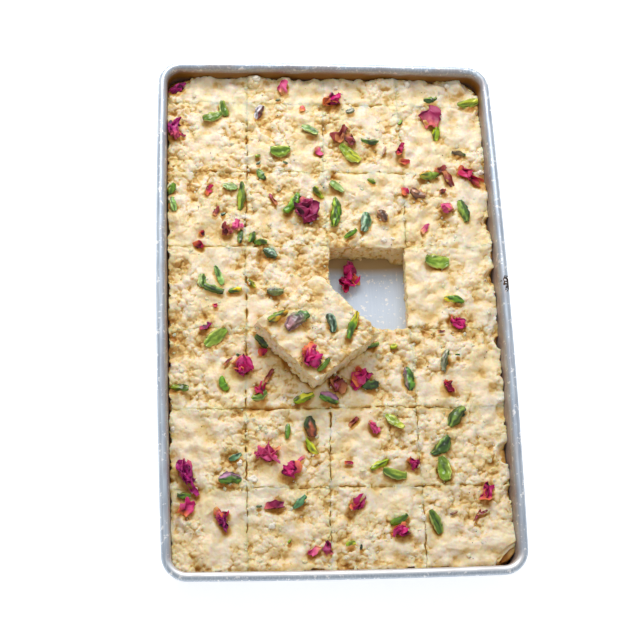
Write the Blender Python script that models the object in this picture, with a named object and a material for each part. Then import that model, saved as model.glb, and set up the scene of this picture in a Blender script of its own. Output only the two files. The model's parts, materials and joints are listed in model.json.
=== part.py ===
"""Kalakand cut in squares in its shallow tin, scattered with pistachios and dried rose petals.

One square is out of its cell and lies turned on top of the others.
+Z is up, +Y runs along the tin to its far end, and the origin is under the tin's middle.
"""

import math
import random

import bmesh
import bpy
from mathutils import Matrix, Vector, noise
from mathutils.bvhtree import BVHTree

MM = 0.001
SEED = 11
CLEARANCE = 0.3 * MM

# Tin: an oblong tray with round corners and a rolled bead as its rim
INNER_HALF_WIDTH = 87.4 * MM
INNER_HALF_LENGTH = 138.3 * MM
INNER_CORNER_RADIUS = 7.5 * MM
TIN_HEIGHT = 28.0 * MM
SHEET = 1.0 * MM
WALL_LEAN = 0.9 * MM
FOOT_RADIUS = 2.2 * MM
BEAD_RADIUS = 2.4 * MM
BEAD_OUTSET = 2.6 * MM
LONG_SIDE_BOW = 2.0 * MM
SHORT_SIDE_BOW = 0.9 * MM
CORNER_STEPS = 4
LONG_SIDE_STEPS = 6
SHORT_SIDE_STEPS = 4

# Slab: its level in the tin, and how far its foot, its side and its top stay from the wall
SLAB_FOOT = SHEET + CLEARANCE
SLAB_TOP = 19.0 * MM
SLAB_HALF_WIDTH = 87.8 * MM
SLAB_HALF_LENGTH = 137.9 * MM
FOOT_INSET = 2.4 * MM
SIDE_INSET = 1.5 * MM
TOP_INSET = 0.7 * MM
SIDE_RING_RISE = 3.0 * MM

# Cuts: five lines across the tin, and three along it that wander a little, from far to near
CUT_WIDTH = 0.6 * MM
CUTS_ACROSS = (122.5 * MM, 81.0 * MM, 37.0 * MM, -9.5 * MM, -53.5 * MM, -95.5 * MM)
CUTS_ALONG = (
    tuple(x * MM for x in (-43.0, -43.5, -44.5, -46.5, -47.0, -48.5, -49.0, -49.5)),
    tuple(x * MM for x in (-0.5, -1.0, -2.5, -2.0, -3.0, -4.5, -6.0, -7.5)),
    tuple(x * MM for x in (40.5, 41.0, 42.0, 41.0, 40.5, 41.0, 41.5, 41.5)),
)
EMPTY_CELL = (3, 3)

# Crags: the height of the wide swells and of the lumps, and how the cut edges crumble
SWELL_LENGTH = 17.0 * MM
SWELL_HEIGHT = 0.8 * MM
LUMP_LENGTH = 6.5 * MM
LUMP_HEIGHT = 2.4 * MM
CRAG_LIMIT = 1.0 * MM
EDGE_STRIP = 1.6 * MM
EDGE_DROP = 0.9 * MM
EDGE_CRUMBLE = 0.8 * MM
SQUARE_STEPS = 8
STRIP_STEPS = 4

# Places where the slab is broken away at the wall: x, y, and the radius that is gone
BROKEN_CORNERS = ((-90, 142, 12), (92, -141, 11))
BROKEN_SIDES = ((91, 51, 4), (91, 20, 4), (91, -18, 4), (92, -79, 6), (91, -100, 4))
CORNER_REACH = 1.5
SIDE_REACH = 2.0
# Hollows in the top, and heaps at the wall with a depth below zero: x, y, radius and depth
HOLLOWS = (
    (-83, 23, 8, 3), (-86, -24, 6, 3), (72, 127, 8, 2), (77, -15, 6, 1), (68, 40, 5, 1), (-70, 79, 6, 1),
    (-60, -77, 7, 1), (88, -55, 5, 2), (-38, 137, 6, -3), (-22, 137, 5, -3), (35, 137, 6, -3),
    (76, 136, 7, -2), (-66, 137, 6, -1), (87, 104, 7, -1), (87, 66, 7, -1), (87, 36, 6, -2),
    (87, -2, 6, -1), (87, -38, 7, -2), (87, -64, 6, -1), (-86, 4, 6, -1), (-70, -128, 8, -1),
)

# Lifted square: its top corners, near left, near right, far right, far left, and its thickness
LIFTED_CORNERS = ((-42.1, -11.7), (-13.2, -42.7), (18.7, -16.8), (-10.4, 14.3))
LIFTED_THICKNESS = 15.4 * MM
LIFTED_NOISE_SHIFT = 0.4

# Toppings: x and y of the middle, heading from +X, length and width, in whole millimetres or degrees
PISTACHIO_SIDES = 6
PISTACHIO_RINGS = 3
PISTACHIO_FLATNESS = 0.72
PISTACHIO_SINK = 0.25
PISTACHIOS = (
    (-57, 119, 105, 9, 4), (-63, 113, 20, 11, 5), (-37, 117, 65, 9, 4), (60, 126, 15, 8, 4),
    (81, 124, 10, 9, 5), (-9, 106, -30, 10, 4), (-26, 93, 5, 11, 6), (-37, 79, -60, 7, 4),
    (24, 100, 0, 10, 4), (12, 92, -40, 14, 6), (62, 106, 80, 10, 4), (74, 93, -15, 8, 3),
    (-86, 70, 70, 7, 4), (-85, 61, 100, 8, 4), (-54, 71, -15, 8, 4), (-48, 66, 85, 16, 4),
    (-20, 62, 57, 14, 4), (-6, 69, -50, 8, 4), (4, 72, -35, 9, 5), (3, 57, 85, 17, 5),
    (19, 51, 80, 11, 6), (29, 55, -60, 8, 5), (11, 44, 35, 8, 3), (49, 68, -25, 9, 6),
    (56, 79, 10, 11, 5), (74, 58, 105, 13, 5), (-49, 42, 80, 8, 3), (-43, 42, 65, 7, 3),
    (-38, 39, -10, 7, 4), (-33, 33, -35, 8, 5), (-61, 20, -70, 11, 4), (-64, 12, -20, 11, 4),
    (-53, 12, 5, 9, 3), (-44, 16, -50, 8, 3), (-70, 17, 90, 7, 4), (-31, 11, -5, 9, 4),
    (57, 29, -5, 13, 7), (65, 6, -12, 11, 5), (-63, -15, 35, 14, 5), (-42, -18, -47, 8, 5),
    (-60, -40, -65, 8, 5), (-84, -42, -12, 11, 4), (-41, -47, 20, 9, 5), (-18, -48, 20, 11, 4),
    (-5, -48, -20, 10, 5), (18, -43, 10, 8, 4), (38, -38, 95, 13, 6), (58, -28, 75, 12, 4),
    (-15, -64, -80, 11, 6), (-27, -66, 85, 8, 3), (-15, -74, -60, 11, 3),
    (62, -59, 50, 13, 6), (29, -62, -45, 12, 5), (53, -74, 45, 13, 5), (54, -88, -80, 13, 6),
    (20, -84, 30, 12, 4), (27, -89, -10, 13, 4), (-54, -79, 20, 7, 4), (-58, -91, 5, 12, 6),
    (-81, -99, 0, 7, 4), (-22, -103, 45, 9, 4), (29, -113, 25, 10, 4), (47, -114, -65, 13, 5),
)
LIFTED_PISTACHIOS = (
    (-30, -7, 30, 12, 6), (-22, -11, 35, 14, 7), (-4, -13, -80, 10, 5), (-9, -35, 45, 9, 3),
    (7, -14, 70, 16, 4),
)

PETAL_STEPS_ALONG = 3
PETAL_STEPS_ACROSS = 2
PETAL_THICKNESS = 0.6 * MM
PETAL_RISE = 0.35
PETALS = (
    (-23, 132, 80, 9, 5), (-80, 130, 10, 8, 5), (4, 124, 30, 10, 7), (9, 105, 60, 12, 8),
    (41, 93, 80, 12, 4), (-66, 70, 60, 8, 3), (-54, 47, -60, 10, 7), (65, 82, -55, 13, 4),
    (80, 79, -25, 17, 5), (65, 61, -20, 8, 6), (52, 48, 50, 7, 3), (-69, -9, 30, 7, 4),
    (-40, -43, 50, 9, 4), (14, -37, 20, 11, 6),
    (58, -43, 70, 9, 6), (1, -41, 60, 8, 6), (8, -61, 45, 8, 3),
    (18, -64, -60, 8, 5), (37, -84, -50, 9, 5), (-27, -87, 25, 13, 7), (-80, -105, 20, 9, 6),
    (-63, -114, -45, 13, 4), (-35, -105, 5, 9, 4), (-13, -127, 15, 9, 6), (7, -104, 30, 11, 5),
    (29, -120, -20, 10, 6),
)

BUD_SIDES = 7
BUD_RINGS = 4
BUD_FLATNESS = 0.6
BUD_SINK = 0.3
BUD_CRUMPLE = 0.18
BUDS = (
    (-85, 106, 95, 13, 6), (58, 115, 100, 13, 9), (-12, 57, -50, 17, 11), (65, -6, -40, 12, 5),
    (-51, -31, -40, 9, 8), (-38, -77, 5, 13, 9), (-80, -89, -65, 18, 7), (75, -100, 75, 13, 8),
)
LIFTED_BUDS = ((-15, -31, 60, 11, 9),)

# The petal that has fallen to the floor of the empty cell: place, heading, length, width, curl
FALLEN_PETAL = (10.5, 25.5, 65, 16, 11)
FALLEN_PETAL_CURL = 5.0 * MM

ALUMINIUM = (0.72, 0.74, 0.77, 1.0)
MILK_SWEET = (0.90, 0.80, 0.60, 1.0)
ROSE = (0.55, 0.03, 0.20, 1.0)


def material(name, colour, roughness, metallic=0.0):
    """Return a new Principled material."""
    made = bpy.data.materials.new(name)
    made.use_nodes = True
    shader = made.node_tree.nodes["Principled BSDF"]
    shader.inputs["Base Color"].default_value = colour
    shader.inputs["Roughness"].default_value = roughness
    shader.inputs["Metallic"].default_value = metallic
    made.diffuse_color = colour
    return made


def link(name, bm, collection, finish=None):
    """Turn a bmesh into an object in a collection."""
    mesh = bpy.data.meshes.new(name)
    bmesh.ops.recalc_face_normals(bm, faces=bm.faces)
    bm.to_mesh(mesh)
    bm.free()
    obj = bpy.data.objects.new(name, mesh)
    if finish:
        mesh.materials.append(finish)
    collection.objects.link(obj)
    return obj


def arc(centre_outset, centre_z, radius, start, end, steps):
    """Return (outset, z) pairs along an arc, with its angles in degrees."""
    pairs = []
    for step in range(steps + 1):
        angle = math.radians(start + (end - start) * step / steps)
        pairs.append((centre_outset + radius * math.cos(angle), centre_z + radius * math.sin(angle)))
    return pairs


def bowed(x, y, z):
    """Push a point of the tin outwards: the sides bulge at their middles, most at the rim."""
    share = z / TIN_HEIGHT
    bulge_x = LONG_SIDE_BOW * share * (1 - (y / INNER_HALF_LENGTH) ** 2)
    bulge_y = SHORT_SIDE_BOW * share * (1 - (x / INNER_HALF_WIDTH) ** 2)
    return Vector((x + x / INNER_HALF_WIDTH * bulge_x, y + y / INNER_HALF_LENGTH * bulge_y, z))


def tin_ring(outset, z):
    """Return the points of a rounded oblong, set out from the inner wall's top outline."""
    half_x = INNER_HALF_WIDTH + outset
    half_y = INNER_HALF_LENGTH + outset
    radius = INNER_CORNER_RADIUS + outset
    points = []
    for corner, (side_x, side_y) in enumerate(((1, 1), (-1, 1), (-1, -1), (1, -1))):
        centre = Vector((side_x * (half_x - radius), side_y * (half_y - radius)))
        for step in range(CORNER_STEPS + 1):
            angle = math.pi / 2 * (corner + step / CORNER_STEPS)
            points.append(centre + radius * Vector((math.cos(angle), math.sin(angle))))
        along_x = corner % 2 == 0
        steps = SHORT_SIDE_STEPS if along_x else LONG_SIDE_STEPS
        start = points[-1].copy()
        end = start.copy()
        if along_x:
            end.x = -start.x
        else:
            end.y = -start.y
        points.extend(start.lerp(end, step / steps) for step in range(1, steps))
    return [bowed(point.x, point.y, z) for point in points]


def make_tin(collection, finish):
    """Loft the tin's section round its outline: outside, bead, inside, floor."""
    floor_outset = -WALL_LEAN - FOOT_RADIUS
    foot_height = SHEET + FOOT_RADIUS
    bead_height = TIN_HEIGHT - BEAD_RADIUS
    outer_foot = arc(floor_outset, foot_height, FOOT_RADIUS + SHEET, -90, 0, 2)
    outer_wall = [(SHEET, bead_height - 0.8 * BEAD_RADIUS)]
    bead = arc(BEAD_OUTSET, bead_height, BEAD_RADIUS, -100, 180, 7)
    inner_wall = [(0.0, bead_height - 0.5 * BEAD_RADIUS)]
    inner_foot = arc(floor_outset, foot_height, FOOT_RADIUS, 0, -90, 2)
    bm = bmesh.new()
    rings = []
    for outset, z in outer_foot + outer_wall + bead + inner_wall + inner_foot:
        rings.append([bm.verts.new(point) for point in tin_ring(outset, z)])
    count = len(rings[0])
    for low, high in zip(rings, rings[1:]):
        for i in range(count):
            j = (i + 1) % count
            bm.faces.new((low[i], low[j], high[j], high[i]))
    bm.faces.new(rings[0])
    bm.faces.new(rings[-1])
    return link("tin", bm, collection, finish)


def crag_height(x, y, shift=0.0):
    """Height of the slab's lumpy top above or below its level at a place."""
    place = Vector((x, y, 0.0))
    swell = SWELL_HEIGHT * noise.noise(place / SWELL_LENGTH + Vector((0, 0, 3.1 + shift)))
    lump = LUMP_HEIGHT * noise.noise(place / LUMP_LENGTH + Vector((0, 0, 7.7 + shift)))
    height = min(swell + lump, CRAG_LIMIT)
    if shift:
        return height
    for hollow_x, hollow_y, radius, depth in HOLLOWS:
        reach = (Vector((x, y)) / MM - Vector((hollow_x, hollow_y))).length / radius
        height -= depth * MM * max(0.0, 1.0 - reach * reach)
    return height


def inside_tin(plan, z, inset):
    """Pull a plan point in until it lies the inset away from the tin's inner outline at a height."""
    wall = bowed(INNER_HALF_WIDTH, plan.y, z).x, bowed(plan.x, INNER_HALF_LENGTH, z).y
    half = Vector((wall[0] - inset, wall[1] - inset))
    held = Vector((max(-half.x, min(half.x, plan.x)), max(-half.y, min(half.y, plan.y))))
    radius = INNER_CORNER_RADIUS
    centre = Vector((math.copysign(half.x - radius, held.x), math.copysign(half.y - radius, held.y)))
    away = held - centre
    if away.x * centre.x > 0 and away.y * centre.y > 0 and away.length > radius:
        held = centre + away.normalized() * radius
    return held


def broken_back(plan):
    """Push a plan point away from the places where the slab has broken off at the wall."""
    for x, y, radius in BROKEN_CORNERS:
        centre = Vector((x, y)) * MM
        away = plan - centre
        if away.length < CORNER_REACH * radius * MM:
            plan = centre + away.normalized() * (radius * MM + away.length * (1 - 1 / CORNER_REACH))
    for x, y, radius in BROKEN_SIDES:
        half_gap = (radius * MM) ** 2 - (plan.y - y * MM) ** 2
        reach = SIDE_REACH * radius * MM
        depth = abs(x * MM - plan.x)
        if half_gap > 0 and depth < reach:
            gone = math.sqrt(half_gap)
            kept = gone + depth * (1 - gone / reach)
            plan = Vector((x * MM - math.copysign(kept, x), plan.y))
    return plan


def spread(share, steps):
    """Turn an even grid line into one that keeps a narrow strip along each edge."""
    index = round(share * steps)
    if index in (0, steps):
        return index / steps
    strip = EDGE_STRIP / (44.0 * MM) if steps == SQUARE_STEPS else EDGE_STRIP / (16.0 * MM)
    return strip + (index - 1) / (steps - 2) * (1 - 2 * strip)


def unit_block(steps_x, steps_y):
    """A grid with two rings of sides and a bottom; z counts the rings downwards from the top."""
    bm = bmesh.new()
    bmesh.ops.create_grid(bm, x_segments=steps_x, y_segments=steps_y, size=0.5)
    bmesh.ops.translate(bm, verts=bm.verts, vec=(0.5, 0.5, 0.0))
    edges = [edge for edge in bm.edges if edge.is_boundary]
    for ring in range(2):
        grown = bmesh.ops.extrude_edge_only(bm, edges=edges)["geom"]
        verts = [item for item in grown if isinstance(item, bmesh.types.BMVert)]
        bmesh.ops.translate(bm, verts=verts, vec=(0.0, 0.0, -1.0))
        edges = [edge for edge in bm.edges if edge.is_boundary]
    bmesh.ops.holes_fill(bm, edges=edges, sides=0)
    return bm


def make_block(name, corners, foot, top, collection, finish, steps_y=SQUARE_STEPS, shift=0.0):
    """Make one cut piece between four plan corners, near left round to far left."""
    rng = random.Random("%s %d" % (name, SEED))
    near_left, near_right, far_right, far_left = corners
    middle = (near_left + near_right + far_right + far_left) / 4
    in_tin = not shift
    bm = unit_block(SQUARE_STEPS, steps_y)
    for vert in sorted(bm.verts, key=lambda v: (round(-v.co.z), round(v.co.y, 4), round(v.co.x, 4))):
        ring = round(-vert.co.z)
        u = spread(vert.co.x, SQUARE_STEPS)
        v = spread(vert.co.y, steps_y)
        plan = near_left.lerp(near_right, u).lerp(far_left.lerp(far_right, u), v)
        inwards = (middle - plan).normalized()
        on_edge = u in (0.0, 1.0) or v in (0.0, 1.0)
        on_corner = u in (0.0, 1.0) and v in (0.0, 1.0)
        z = foot
        if ring == 0:
            crumble = EDGE_CRUMBLE * rng.uniform(0.1, 1.0) * (2.0 if on_corner else 1.0)
            drop = EDGE_DROP * rng.uniform(0.3, 1.0)
            if on_edge:
                plan = plan + inwards * crumble
            z = top + crag_height(plan.x, plan.y, shift) - (drop if on_edge else 0.0)
        elif ring == 1:
            z = foot + SIDE_RING_RISE
        if in_tin:
            plan = broken_back(plan)
            plan = inside_tin(plan, min(z, SLAB_TOP), (TOP_INSET, SIDE_INSET, FOOT_INSET)[ring])
        elif ring == 2:
            plan = plan + inwards * EDGE_CRUMBLE
        vert.co = (plan.x, plan.y, z)
    return link(name, bm, collection, finish)


def cut_x(line, y):
    """Where a cut along the tin lies at a given y."""
    stations = (SLAB_HALF_LENGTH,) + CUTS_ACROSS + (-SLAB_HALF_LENGTH,)
    for i in range(len(stations) - 1):
        far, near = stations[i], stations[i + 1]
        if far >= y >= near:
            return line[i] + (line[i + 1] - line[i]) * (far - y) / (far - near)
    raise ValueError("no cut there")


def cell_corners(row, column):
    """Plan corners of a cell, near left round to far left; row 0 is the thin strip at the far end."""
    stations = (SLAB_HALF_LENGTH,) + CUTS_ACROSS + (-SLAB_HALF_LENGTH,)
    far, near = stations[row], stations[row + 1]
    half_cut = CUT_WIDTH / 2
    corners = []
    for y, line in ((near, column - 1), (near, column), (far, column), (far, column - 1)):
        side = half_cut if line == column - 1 else -half_cut
        if line == 0:
            x = -SLAB_HALF_WIDTH
        elif line == 4:
            x = SLAB_HALF_WIDTH
        else:
            x = cut_x(CUTS_ALONG[line - 1], y) + side
        lift = half_cut if y == near and row < 6 else 0.0
        lower = half_cut if y == far and row > 0 else 0.0
        corners.append(Vector((x, y + lift - lower)))
    return corners


def pistachio(length, width, heading, rng):
    """A sliver of pistachio: a pointed, slightly bent grain lying along its heading."""
    bm = bmesh.new()
    bmesh.ops.create_uvsphere(bm, u_segments=PISTACHIO_SIDES, v_segments=PISTACHIO_RINGS, radius=0.5)
    height = PISTACHIO_FLATNESS * width
    bend = rng.uniform(-0.1, 0.1) * length
    for vert in bm.verts:
        x, y, z = vert.co.z, vert.co.x, vert.co.y
        vert.co = (x * length, y * width * 1.1 + bend * (4 * x * x - 0.5), z * height * 1.1)
    tilt = Matrix.Rotation(math.radians(rng.uniform(-7, 7)), 4, "Y")
    bmesh.ops.transform(bm, verts=bm.verts, matrix=Matrix.Rotation(math.radians(heading), 4, "Z") @ tilt)
    return bm, height * (0.5 - PISTACHIO_SINK)


def petal(length, width, heading, rng, curl=None):
    """A dried petal: a thin wavy sheet, cupped across, its base low and its tip raised."""
    curl = width * rng.uniform(0.2, 0.35) if curl is None else curl
    phase = rng.uniform(0.0, math.tau)
    bm = bmesh.new()
    bmesh.ops.create_grid(bm, x_segments=PETAL_STEPS_ALONG, y_segments=PETAL_STEPS_ACROSS, size=0.5)
    for vert in bm.verts:
        along, across = vert.co.x + 0.5, vert.co.y * 2
        half = width / 2 * (0.45 + 0.55 * math.sin(math.pi * (0.1 + 0.75 * along)))
        wave = 0.05 * length * math.sin(math.tau * along + phase + 2 * across)
        rise = PETAL_RISE * curl * along
        vert.co = (length * (along - 0.5), half * across, curl * across * across + wave + rise)
    bmesh.ops.triangulate(bm, faces=bm.faces)
    bmesh.ops.solidify(bm, geom=list(bm.faces), thickness=PETAL_THICKNESS)
    bmesh.ops.transform(bm, verts=bm.verts, matrix=Matrix.Rotation(math.radians(heading), 4, "Z"))
    lowest = min(vert.co.z for vert in bm.verts)
    return bm, -lowest - 2.0 * PETAL_THICKNESS


def bud(length, width, heading, rng):
    """A crumpled rosebud or clump of petals."""
    bm = bmesh.new()
    bmesh.ops.create_uvsphere(bm, u_segments=BUD_SIDES, v_segments=BUD_RINGS, radius=0.5)
    height = BUD_FLATNESS * width
    for vert in bm.verts:
        crumple = 1.0 + rng.uniform(-BUD_CRUMPLE, BUD_CRUMPLE)
        x, y, z = vert.co.z, vert.co.x, vert.co.y
        vert.co = (x * length * crumple, y * width * crumple, z * height * crumple)
    bmesh.ops.transform(bm, verts=bm.verts, matrix=Matrix.Rotation(math.radians(heading), 4, "Z"))
    return bm, height * (0.5 - BUD_SINK)


def hold_inside(bm, corners, margin):
    """Slide a topping sideways until it lies over its own piece, clear of the next one."""
    middle = sum(corners, Vector((0.0, 0.0))) / 4
    for i in range(4):
        start, end = corners[i], corners[(i + 1) % 4]
        along = (end - start).normalized()
        inwards = Vector((-along.y, along.x))
        if (middle - start).dot(inwards) < 0:
            inwards.negate()
        nearest = min((vert.co.xy - start).dot(inwards) for vert in bm.verts)
        if nearest < margin:
            slide = inwards * (margin - nearest)
            bmesh.ops.translate(bm, verts=bm.verts, vec=(slide.x, slide.y, 0.0))


def lies_in(corners, x, y):
    """Whether a plan point lies in a cell."""
    point = Vector((x, y))
    for i in range(4):
        start, end = corners[i], corners[(i + 1) % 4]
        along = end - start
        if along.x * (point.y - start.y) - along.y * (point.x - start.x) < 0:
            return False
    return True


def settle(bm, surface, middle, lift):
    """Set a topping down: its centre is moved inwards until the piece's top is under it."""
    down = Vector((0.0, 0.0, -1.0))
    while True:
        centre = sum((vert.co for vert in bm.verts), Vector()) / len(bm.verts)
        hit = surface.ray_cast(Vector((centre.x, centre.y, 2 * TIN_HEIGHT)), down)[0]
        if hit:
            bmesh.ops.translate(bm, verts=bm.verts, vec=(0.0, 0.0, hit.z + lift))
            return
        step = (middle - centre.xy).normalized() * MM
        bmesh.ops.translate(bm, verts=bm.verts, vec=(step.x, step.y, 0.0))


def set_toppings(block, corners, kinds, scratch):
    """Make the toppings of one piece, each set down on the piece's own top."""
    middle = sum(corners, Vector((0.0, 0.0))) / 4
    bm = bmesh.new()
    bm.from_mesh(block.data)
    surface = BVHTree.FromBMesh(bm)
    bm.free()
    made = []
    for shape, places in kinds:
        for place in places:
            x, y, heading, length, width = place
            if not lies_in(corners, x * MM, y * MM):
                continue
            rng = random.Random("%s %s %d" % (shape.__name__, place, SEED))
            top_bm, lift = shape(length * MM, width * MM, heading, rng)
            bmesh.ops.translate(top_bm, verts=top_bm.verts, vec=(x * MM, y * MM, 0.0))
            hold_inside(top_bm, corners, 1.2 * MM)
            settle(top_bm, surface, middle, lift)
            made.append(link("topping", top_bm, scratch))
    return made


def closed(mesh):
    """Whether every edge of a mesh has exactly two faces."""
    bm = bmesh.new()
    bm.from_mesh(mesh)
    whole = all(edge.is_manifold for edge in bm.edges)
    bm.free()
    return whole


def keep_largest(mesh):
    """Drop loose scraps, keeping the body with the most faces."""
    bm = bmesh.new()
    bm.from_mesh(mesh)
    bmesh.ops.remove_doubles(bm, verts=bm.verts, dist=0.00001 * MM)
    islands = []
    left = set(bm.faces)
    while left:
        stack = [left.pop()]
        island = list(stack)
        while stack:
            face = stack.pop()
            for edge in face.edges:
                for other in edge.link_faces:
                    if other in left:
                        left.remove(other)
                        island.append(other)
                        stack.append(other)
        islands.append(island)
    islands.sort(key=len)
    for island in islands[:-1]:
        bmesh.ops.delete(bm, geom=island, context="FACES")
    bmesh.ops.recalc_face_normals(bm, faces=bm.faces)
    bmesh.ops.triangulate(bm, faces=bm.faces)
    bm.to_mesh(mesh)
    bm.free()


def join(block, toppings, scratch):
    """Fuse the toppings to the piece that they lie on, and remove them."""
    if toppings:
        for solver in ("EXACT", "MANIFOLD"):
            union = block.modifiers.new("Toppings", "BOOLEAN")
            union.operation = "UNION"
            union.operand_type = "COLLECTION"
            union.collection = scratch
            union.solver = solver
            evaluated = block.evaluated_get(bpy.context.evaluated_depsgraph_get())
            fused = bpy.data.meshes.new_from_object(evaluated)
            block.modifiers.clear()
            if closed(fused):
                break
        block.data = fused
        for obj in toppings:
            bpy.data.objects.remove(obj)
    keep_largest(block.data)


def main():
    for obj in list(bpy.data.objects):
        bpy.data.objects.remove(obj)
    collection = bpy.data.collections.new("kalakand")
    scratch = bpy.data.collections.new("toppings")
    bpy.context.scene.collection.children.link(collection)
    bpy.context.scene.collection.children.link(scratch)

    make_tin(collection, material("aluminium", ALUMINIUM, 0.35, 1.0))
    sweet = material("milk sweet", MILK_SWEET, 0.7)

    kinds = ((pistachio, PISTACHIOS), (petal, PETALS), (bud, BUDS))
    highest = SLAB_TOP
    for row in range(7):
        for column in range(1, 5):
            if (row, column) == EMPTY_CELL:
                continue
            name = "strip_%d" % column if row == 0 else "square_%d_%d" % (row, column)
            steps_y = STRIP_STEPS if row == 0 else SQUARE_STEPS
            corners = cell_corners(row, column)
            block = make_block(name, corners, SLAB_FOOT, SLAB_TOP, collection, sweet, steps_y)
            if row in (3, 4) and column in (2, 3):
                highest = max([highest] + [vert.co.z for vert in block.data.vertices])
            join(block, set_toppings(block, corners, kinds, scratch), scratch)

    lifted_foot = highest + CLEARANCE
    corners = [Vector(corner) * MM for corner in LIFTED_CORNERS]
    lifted = make_block("square_lifted", corners, lifted_foot, lifted_foot + LIFTED_THICKNESS,
                        collection, sweet, SQUARE_STEPS, LIFTED_NOISE_SHIFT)
    kinds = ((pistachio, LIFTED_PISTACHIOS), (bud, LIFTED_BUDS))
    join(lifted, set_toppings(lifted, corners, kinds, scratch), scratch)

    x, y, heading, length, width = FALLEN_PETAL
    bm, lift = petal(length * MM, width * MM, heading, random.Random(SEED), FALLEN_PETAL_CURL)
    bmesh.ops.translate(bm, verts=bm.verts, vec=(x * MM, y * MM, 0.0))
    lowest = min(vert.co.z for vert in bm.verts)
    bmesh.ops.translate(bm, verts=bm.verts, vec=(0.0, 0.0, SHEET + CLEARANCE - lowest))
    link("petal_fallen", bm, collection, material("rose", ROSE, 0.6))
    bpy.data.collections.remove(scratch)


main()
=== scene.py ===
"""Kalakand cut in squares in its shallow tin, with its crumbly surface, nuts and petals in full.

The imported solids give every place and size. This script builds the fine surface of each piece,
its finish, and a plain stage with soft light.
"""

import itertools
import json
import math

import bmesh
import bpy
import numpy as np
from mathutils import Matrix, Vector, noise

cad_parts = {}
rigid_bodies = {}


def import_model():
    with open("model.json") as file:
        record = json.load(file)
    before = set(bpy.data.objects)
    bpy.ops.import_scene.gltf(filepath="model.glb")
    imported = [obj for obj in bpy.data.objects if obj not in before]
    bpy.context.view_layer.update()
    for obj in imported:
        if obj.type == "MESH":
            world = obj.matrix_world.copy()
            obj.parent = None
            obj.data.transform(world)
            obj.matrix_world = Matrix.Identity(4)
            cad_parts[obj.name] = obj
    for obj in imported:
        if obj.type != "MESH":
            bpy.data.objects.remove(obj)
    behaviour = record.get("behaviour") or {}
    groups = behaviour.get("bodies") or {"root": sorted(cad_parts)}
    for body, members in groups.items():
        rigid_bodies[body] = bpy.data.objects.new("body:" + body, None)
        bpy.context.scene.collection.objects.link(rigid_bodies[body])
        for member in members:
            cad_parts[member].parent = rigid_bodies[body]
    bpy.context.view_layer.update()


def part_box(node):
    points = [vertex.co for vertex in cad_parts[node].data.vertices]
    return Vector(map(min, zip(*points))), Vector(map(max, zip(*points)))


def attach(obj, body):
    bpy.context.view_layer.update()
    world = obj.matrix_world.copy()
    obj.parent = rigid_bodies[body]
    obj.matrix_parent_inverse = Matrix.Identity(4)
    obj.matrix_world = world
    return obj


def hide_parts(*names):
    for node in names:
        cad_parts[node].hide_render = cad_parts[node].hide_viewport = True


bl_info = {
    "name": "Kalakand in its tin",
    "version": (1, 0, 0),
    "blender": (4, 5, 0),
    "location": "View3D > Sidebar > Kalakand",
    "description": "Builds a tin of cut milk sweet with pistachios and dried rose petals",
    "category": "Add Mesh",
}

MM = 0.001
SEED = 11

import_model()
TIN_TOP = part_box("tin")[1].z / MM

# Every size below is in millimetres. Tin: its inner outline, its section and its bowed sides
INNER_HALF_WIDTH = 87.4
INNER_HALF_LENGTH = 138.3
INNER_CORNER_RADIUS = 7.5
SHEET = 1.0
WALL_LEAN = 0.9
FOOT_RADIUS = 2.2
BEAD_RADIUS = 2.4
BEAD_OUTSET = 2.6
LONG_SIDE_BOW = 2.0
SHORT_SIDE_BOW = 0.9
TIN_CORNER_STEPS = 14
TIN_LONG_STEPS = 48
TIN_SHORT_STEPS = 30
INNER_WALL_HEIGHTS = (24.4, 23.4, 22.4, 21.4, 20.2, 19.0, 12.0, 6.0)

# How much painted shade and painted reflection of the sweet the tin's inner wall has, by height, how much of
# that its long sides have, and between which places along the tin it grows to all of it at the far end
WALL_SHADE_AND_REFLECTION = (
    (6.0, 0.0), (12.0, 0.6), (18.0, 1.0), (22.5, 1.0), (24.3, 0.9), (25.4, 0.45), (27.3, 0.35), (28.0, 0.0),
)
SIDE_SHADE_AND_REFLECTION = 0.65
SHADE_AND_REFLECTION_GROWS = (110.0, 130.0)

# The bead's rings from its inner end: how many can take the painted shade and reflection, and how many can
# take a pale painted highlight, which grows between two distances towards the near end. Then how worn the
# floor is
BEAD_SHADED_RINGS = 9
BEAD_HIGHLIGHT_RINGS = 11
HIGHLIGHT_GROWS = (131.0, 137.0)
FLOOR_WEAR = 0.95

# A dark scuff on the rim's right side
SCUFF_PLACE = (0.0935, 0.0130, 0.0270)
SCUFF_REACH = (0.0060, 0.0080, 0.0060)

# Painted shade and painted reflection of the sweet's cut wall, brown, on the tin's floor at the foot of the
# empty cell's far wall
FLOOR_SHADE_PLACE = (0.0180, 0.0350, 0.0010)
FLOOR_SHADE_REACH = (0.0700, 0.0085, 0.0030)

# Slab: its level in the tin, and how far its foot, its side and its top stay from the wall
SLAB_FOOT = SHEET + 0.3
SLAB_TOP = 19.0
SLAB_HALF_WIDTH = 87.8
SLAB_HALF_LENGTH = 137.9
WALL_GAPS = ((SLAB_FOOT, 2.4), (SLAB_FOOT + 3.0, 1.5), (SLAB_TOP, 0.35))

# Toppings, and the surface that crumbs are strewn on, stay at least this far from the wall; a topping
# tilts with the surface under it unless that is more uneven than this
TOPPING_GAP = 0.5
CRUMB_GAP = 1.6
LEVEL_ENOUGH = 2.5

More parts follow.
